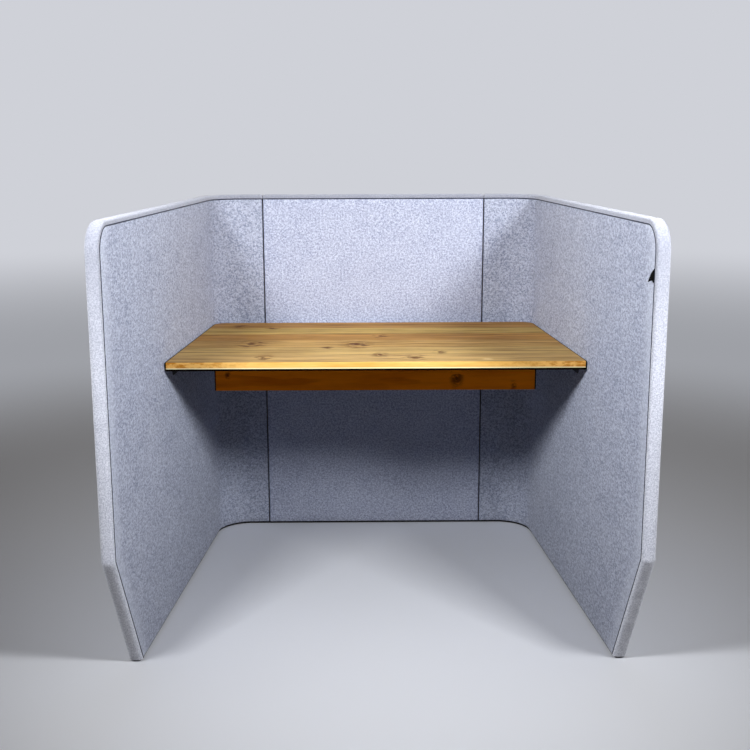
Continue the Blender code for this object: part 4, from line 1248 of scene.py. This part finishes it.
def tag_points():
    """The barb's rounded outline as a slab, its height turned to Z and its thickness to the wall's run."""
    shape = [(0.0, 0.0), (0.0, -TAG_H), (0.3 * TAG_REACH, -0.8 * TAG_H), (TAG_REACH, -0.92 * TAG_H),
             (0.55 * TAG_REACH, -0.35 * TAG_H)]
    outline = rounded_outline(shape, [0.0003, 0.0008, 0.0004, 0.0006, 0.003], [3, 4, 4, 4, 6])
    points, _ = slab(outline, -TAG_T / 2, TAG_T / 2, TAG_T * 0.3, 3)
    turn = -TURN - pi / 2 - TAG_LEAN
    along = np.array((cos(turn), sin(turn), 0.0))
    thick = np.array((-sin(turn), cos(turn), 0.0))
    root = on_wing(1, np.array(WING_END), np.array(STRIP_INSET - 2 * FIT), np.array(PANEL_TOP - TAG_DROP))
    up = np.array((0.0, 0.0, 1.0))
    return root + points[..., :1] * along + points[..., 1:2] * up + points[..., 2:] * thick


points = tag_points()
add_piece("seam_tab", points, tube_faces(points), tag_cloth, ["seam_tag"])
points = points.reshape(-1, 3)
print("tab", np.round((points.min(axis=0), points.max(axis=0)), 4).tolist())

# %% [markdown]
# ## Floor, backdrop and light
# The booth stands on a pale floor that fades into an even backdrop, so no hard horizon shows from any
# side. The pale tone is a matter of what the camera sees: camera, glossy and transmitted rays get it,
# while the light that falls on the booth stays at a plain level. Between the wings the floor gives back
# only little light, which keeps the space below the desk dark, as in the photograph.

# %% Floor
FLOOR_DROP = 0.0006
FLOOR_REACH = 40.0
BACKDROP = linear(207, 209, 216)
HORIZON = linear(158, 160, 166)
PALE_START = 4.5
PALE_END = 12.0
SHADE_HALF_WIDTH = 0.6
SHADE_HALF_DEPTH = 1.15
FADE_START = 1.9
FADE_END = 4.2


def seen_rays(tree):
    """One for camera, glossy and transmitted rays, zero for the light that bounces."""
    path = add_node(tree, "ShaderNodeLightPath").outputs
    seen = calc(tree, "MAXIMUM", path["Is Camera Ray"], path["Is Glossy Ray"])
    return calc(tree, "MAXIMUM", seen, path["Is Transmission Ray"]), path["Is Camera Ray"]


def floor_material():
    finish, tree, shader, position = new_material("floor", roughness=0.9)
    output = next(node for node in tree.nodes if node.type == "OUTPUT_MATERIAL")
    seen, camera = seen_rays(tree)
    reach = vector_calc(tree, "LENGTH", position)
    oval = vector_calc(tree, "DIVIDE", position, (SHADE_HALF_WIDTH, SHADE_HALF_DEPTH, 1.0))
    outside = ramp(tree, vector_calc(tree, "LENGTH", oval), 0.95, 1.25)
    bounce = blend_colour(tree, outside, linear(42, 34, 24), linear(215, 214, 212))
    feed(tree, blend_colour(tree, camera, bounce, linear(223, 226, 233)), shader["Base Color"])
    far = ramp(tree, reach, FADE_START, FADE_END)
    glow = add_node(tree, "ShaderNodeEmission")
    tone = blend_colour(tree, ramp(tree, reach, PALE_START, PALE_END), HORIZON, BACKDROP)
    feed(tree, tone, glow.inputs["Color"])
    mixed = add_node(tree, "ShaderNodeMixShader")
    feed(tree, calc(tree, "MULTIPLY", far, seen), mixed.inputs[0])
    shaded = next(node for node in tree.nodes if node.type == "BSDF_PRINCIPLED")
    tree.links.new(shaded.outputs[0], mixed.inputs[1])
    tree.links.new(glow.outputs[0], mixed.inputs[2])
    tree.links.new(mixed.outputs[0], output.inputs["Surface"])
    return finish


def add_floor():
    """A round sheet: rings of growing radius round the booth's centre."""
    radius = np.concatenate(([0.05], np.linspace(0.5, 6.0, 12), [12.0, FLOOR_REACH]))[:, None]
    angle = np.linspace(0.0, 2 * pi, 64, endpoint=False)[None, :]
    table = np.broadcast_arrays(radius * np.cos(angle), radius * np.sin(angle), -FLOOR_DROP)
    points = np.stack(table, axis=-1)
    ids = np.arange(points.shape[0] * 64).reshape(points.shape[:2])
    mesh = bpy.data.meshes.new("floor")
    faces = table_faces(ids, wrap=True).tolist() + [ids[0].tolist()]
    mesh.from_pydata(points.reshape(-1, 3).tolist(), [], faces)
    mesh.materials.append(floor_material())
    floor = add_object("floor", mesh)
    return floor


print("floor faces", len(add_floor().data.polygons))

# %% [markdown]
# Two small soft lamps do most of the work. They stand in front, to the left and to the right, a little
# above the panels, and a grid on each narrows its beam. A lamp is given by its place, the point that it
# faces, its spread in degrees and its power. The sky adds a weak, warm fill from overhead and a low,
# plain one from behind, so that the back and the outer faces aren't left in the dark.

# %% Light
LAMP_SIZE = 0.4
LAMPS = {
    "right_softbox": ((1.284, -1.741, 1.842), (-0.49, -0.13, 1.50), 129, 32.5),
    "left_softbox": ((-1.128, -1.839, 1.984), (0.17, -0.47, 1.32), 104, 20.4),
}
SKY_FILL = 0.115
REAR_FILL = 1.8
SKY_TINT = (1.0, 0.90, 0.78, 1.0)


def add_lamp(name, place, aim, spread, power):
    """A small square lamp that faces its aim, with a grid that narrows it, and isn't itself seen."""
    data = bpy.data.lights.new(name, "AREA")
    data.size = LAMP_SIZE
    data.energy = power
    data.spread = radians(spread)
    lamp = add_object(name, data)
    lamp.location = place
    lamp.rotation_euler = (Vector(place) - Vector(aim)).to_track_quat("Z", "Y").to_euler()
    lamp.visible_camera = False
    return lamp


def add_sky():
    """Seen rays get the even backdrop, others a weak fill from overhead and a low one from behind."""
    world = bpy.data.worlds.new("studio")
    world.use_nodes = True
    tree = world.node_tree
    tree.nodes.clear()
    way = split_place(tree, add_node(tree, "ShaderNodeTexCoord").outputs["Generated"])
    fill = add_node(tree, "ShaderNodeBackground")
    overhead = ramp(tree, way["Z"], 0.3, 0.8, 0.0, SKY_FILL)
    band = calc(tree, "MULTIPLY", ramp(tree, way["Z"], -0.02, 0.05), ramp(tree, way["Z"], 0.4, 0.2))
    behind = calc(tree, "MULTIPLY", ramp(tree, way["Y"], -0.1, 0.5), band)
    feed(tree, calc(tree, "MULTIPLY_ADD", behind, REAR_FILL, overhead), fill.inputs["Strength"])
    feed(tree, blend_colour(tree, behind, SKY_TINT, linear(255, 255, 255)), fill.inputs["Color"])
    even = add_node(tree, "ShaderNodeBackground")
    even.inputs["Color"].default_value = BACKDROP
    mixed = add_node(tree, "ShaderNodeMixShader")
    feed(tree, seen_rays(tree)[0], mixed.inputs[0])
    tree.links.new(fill.outputs[0], mixed.inputs[1])
    tree.links.new(even.outputs[0], mixed.inputs[2])
    tree.links.new(mixed.outputs[0], add_node(tree, "ShaderNodeOutputWorld").inputs["Surface"])
    bpy.context.scene.world = world


add_sky()
for name, values in LAMPS.items():
    print(name, "at", np.round(add_lamp(name, *values).location, 2).tolist())
bpy.context.scene.view_settings.view_transform = "Standard"
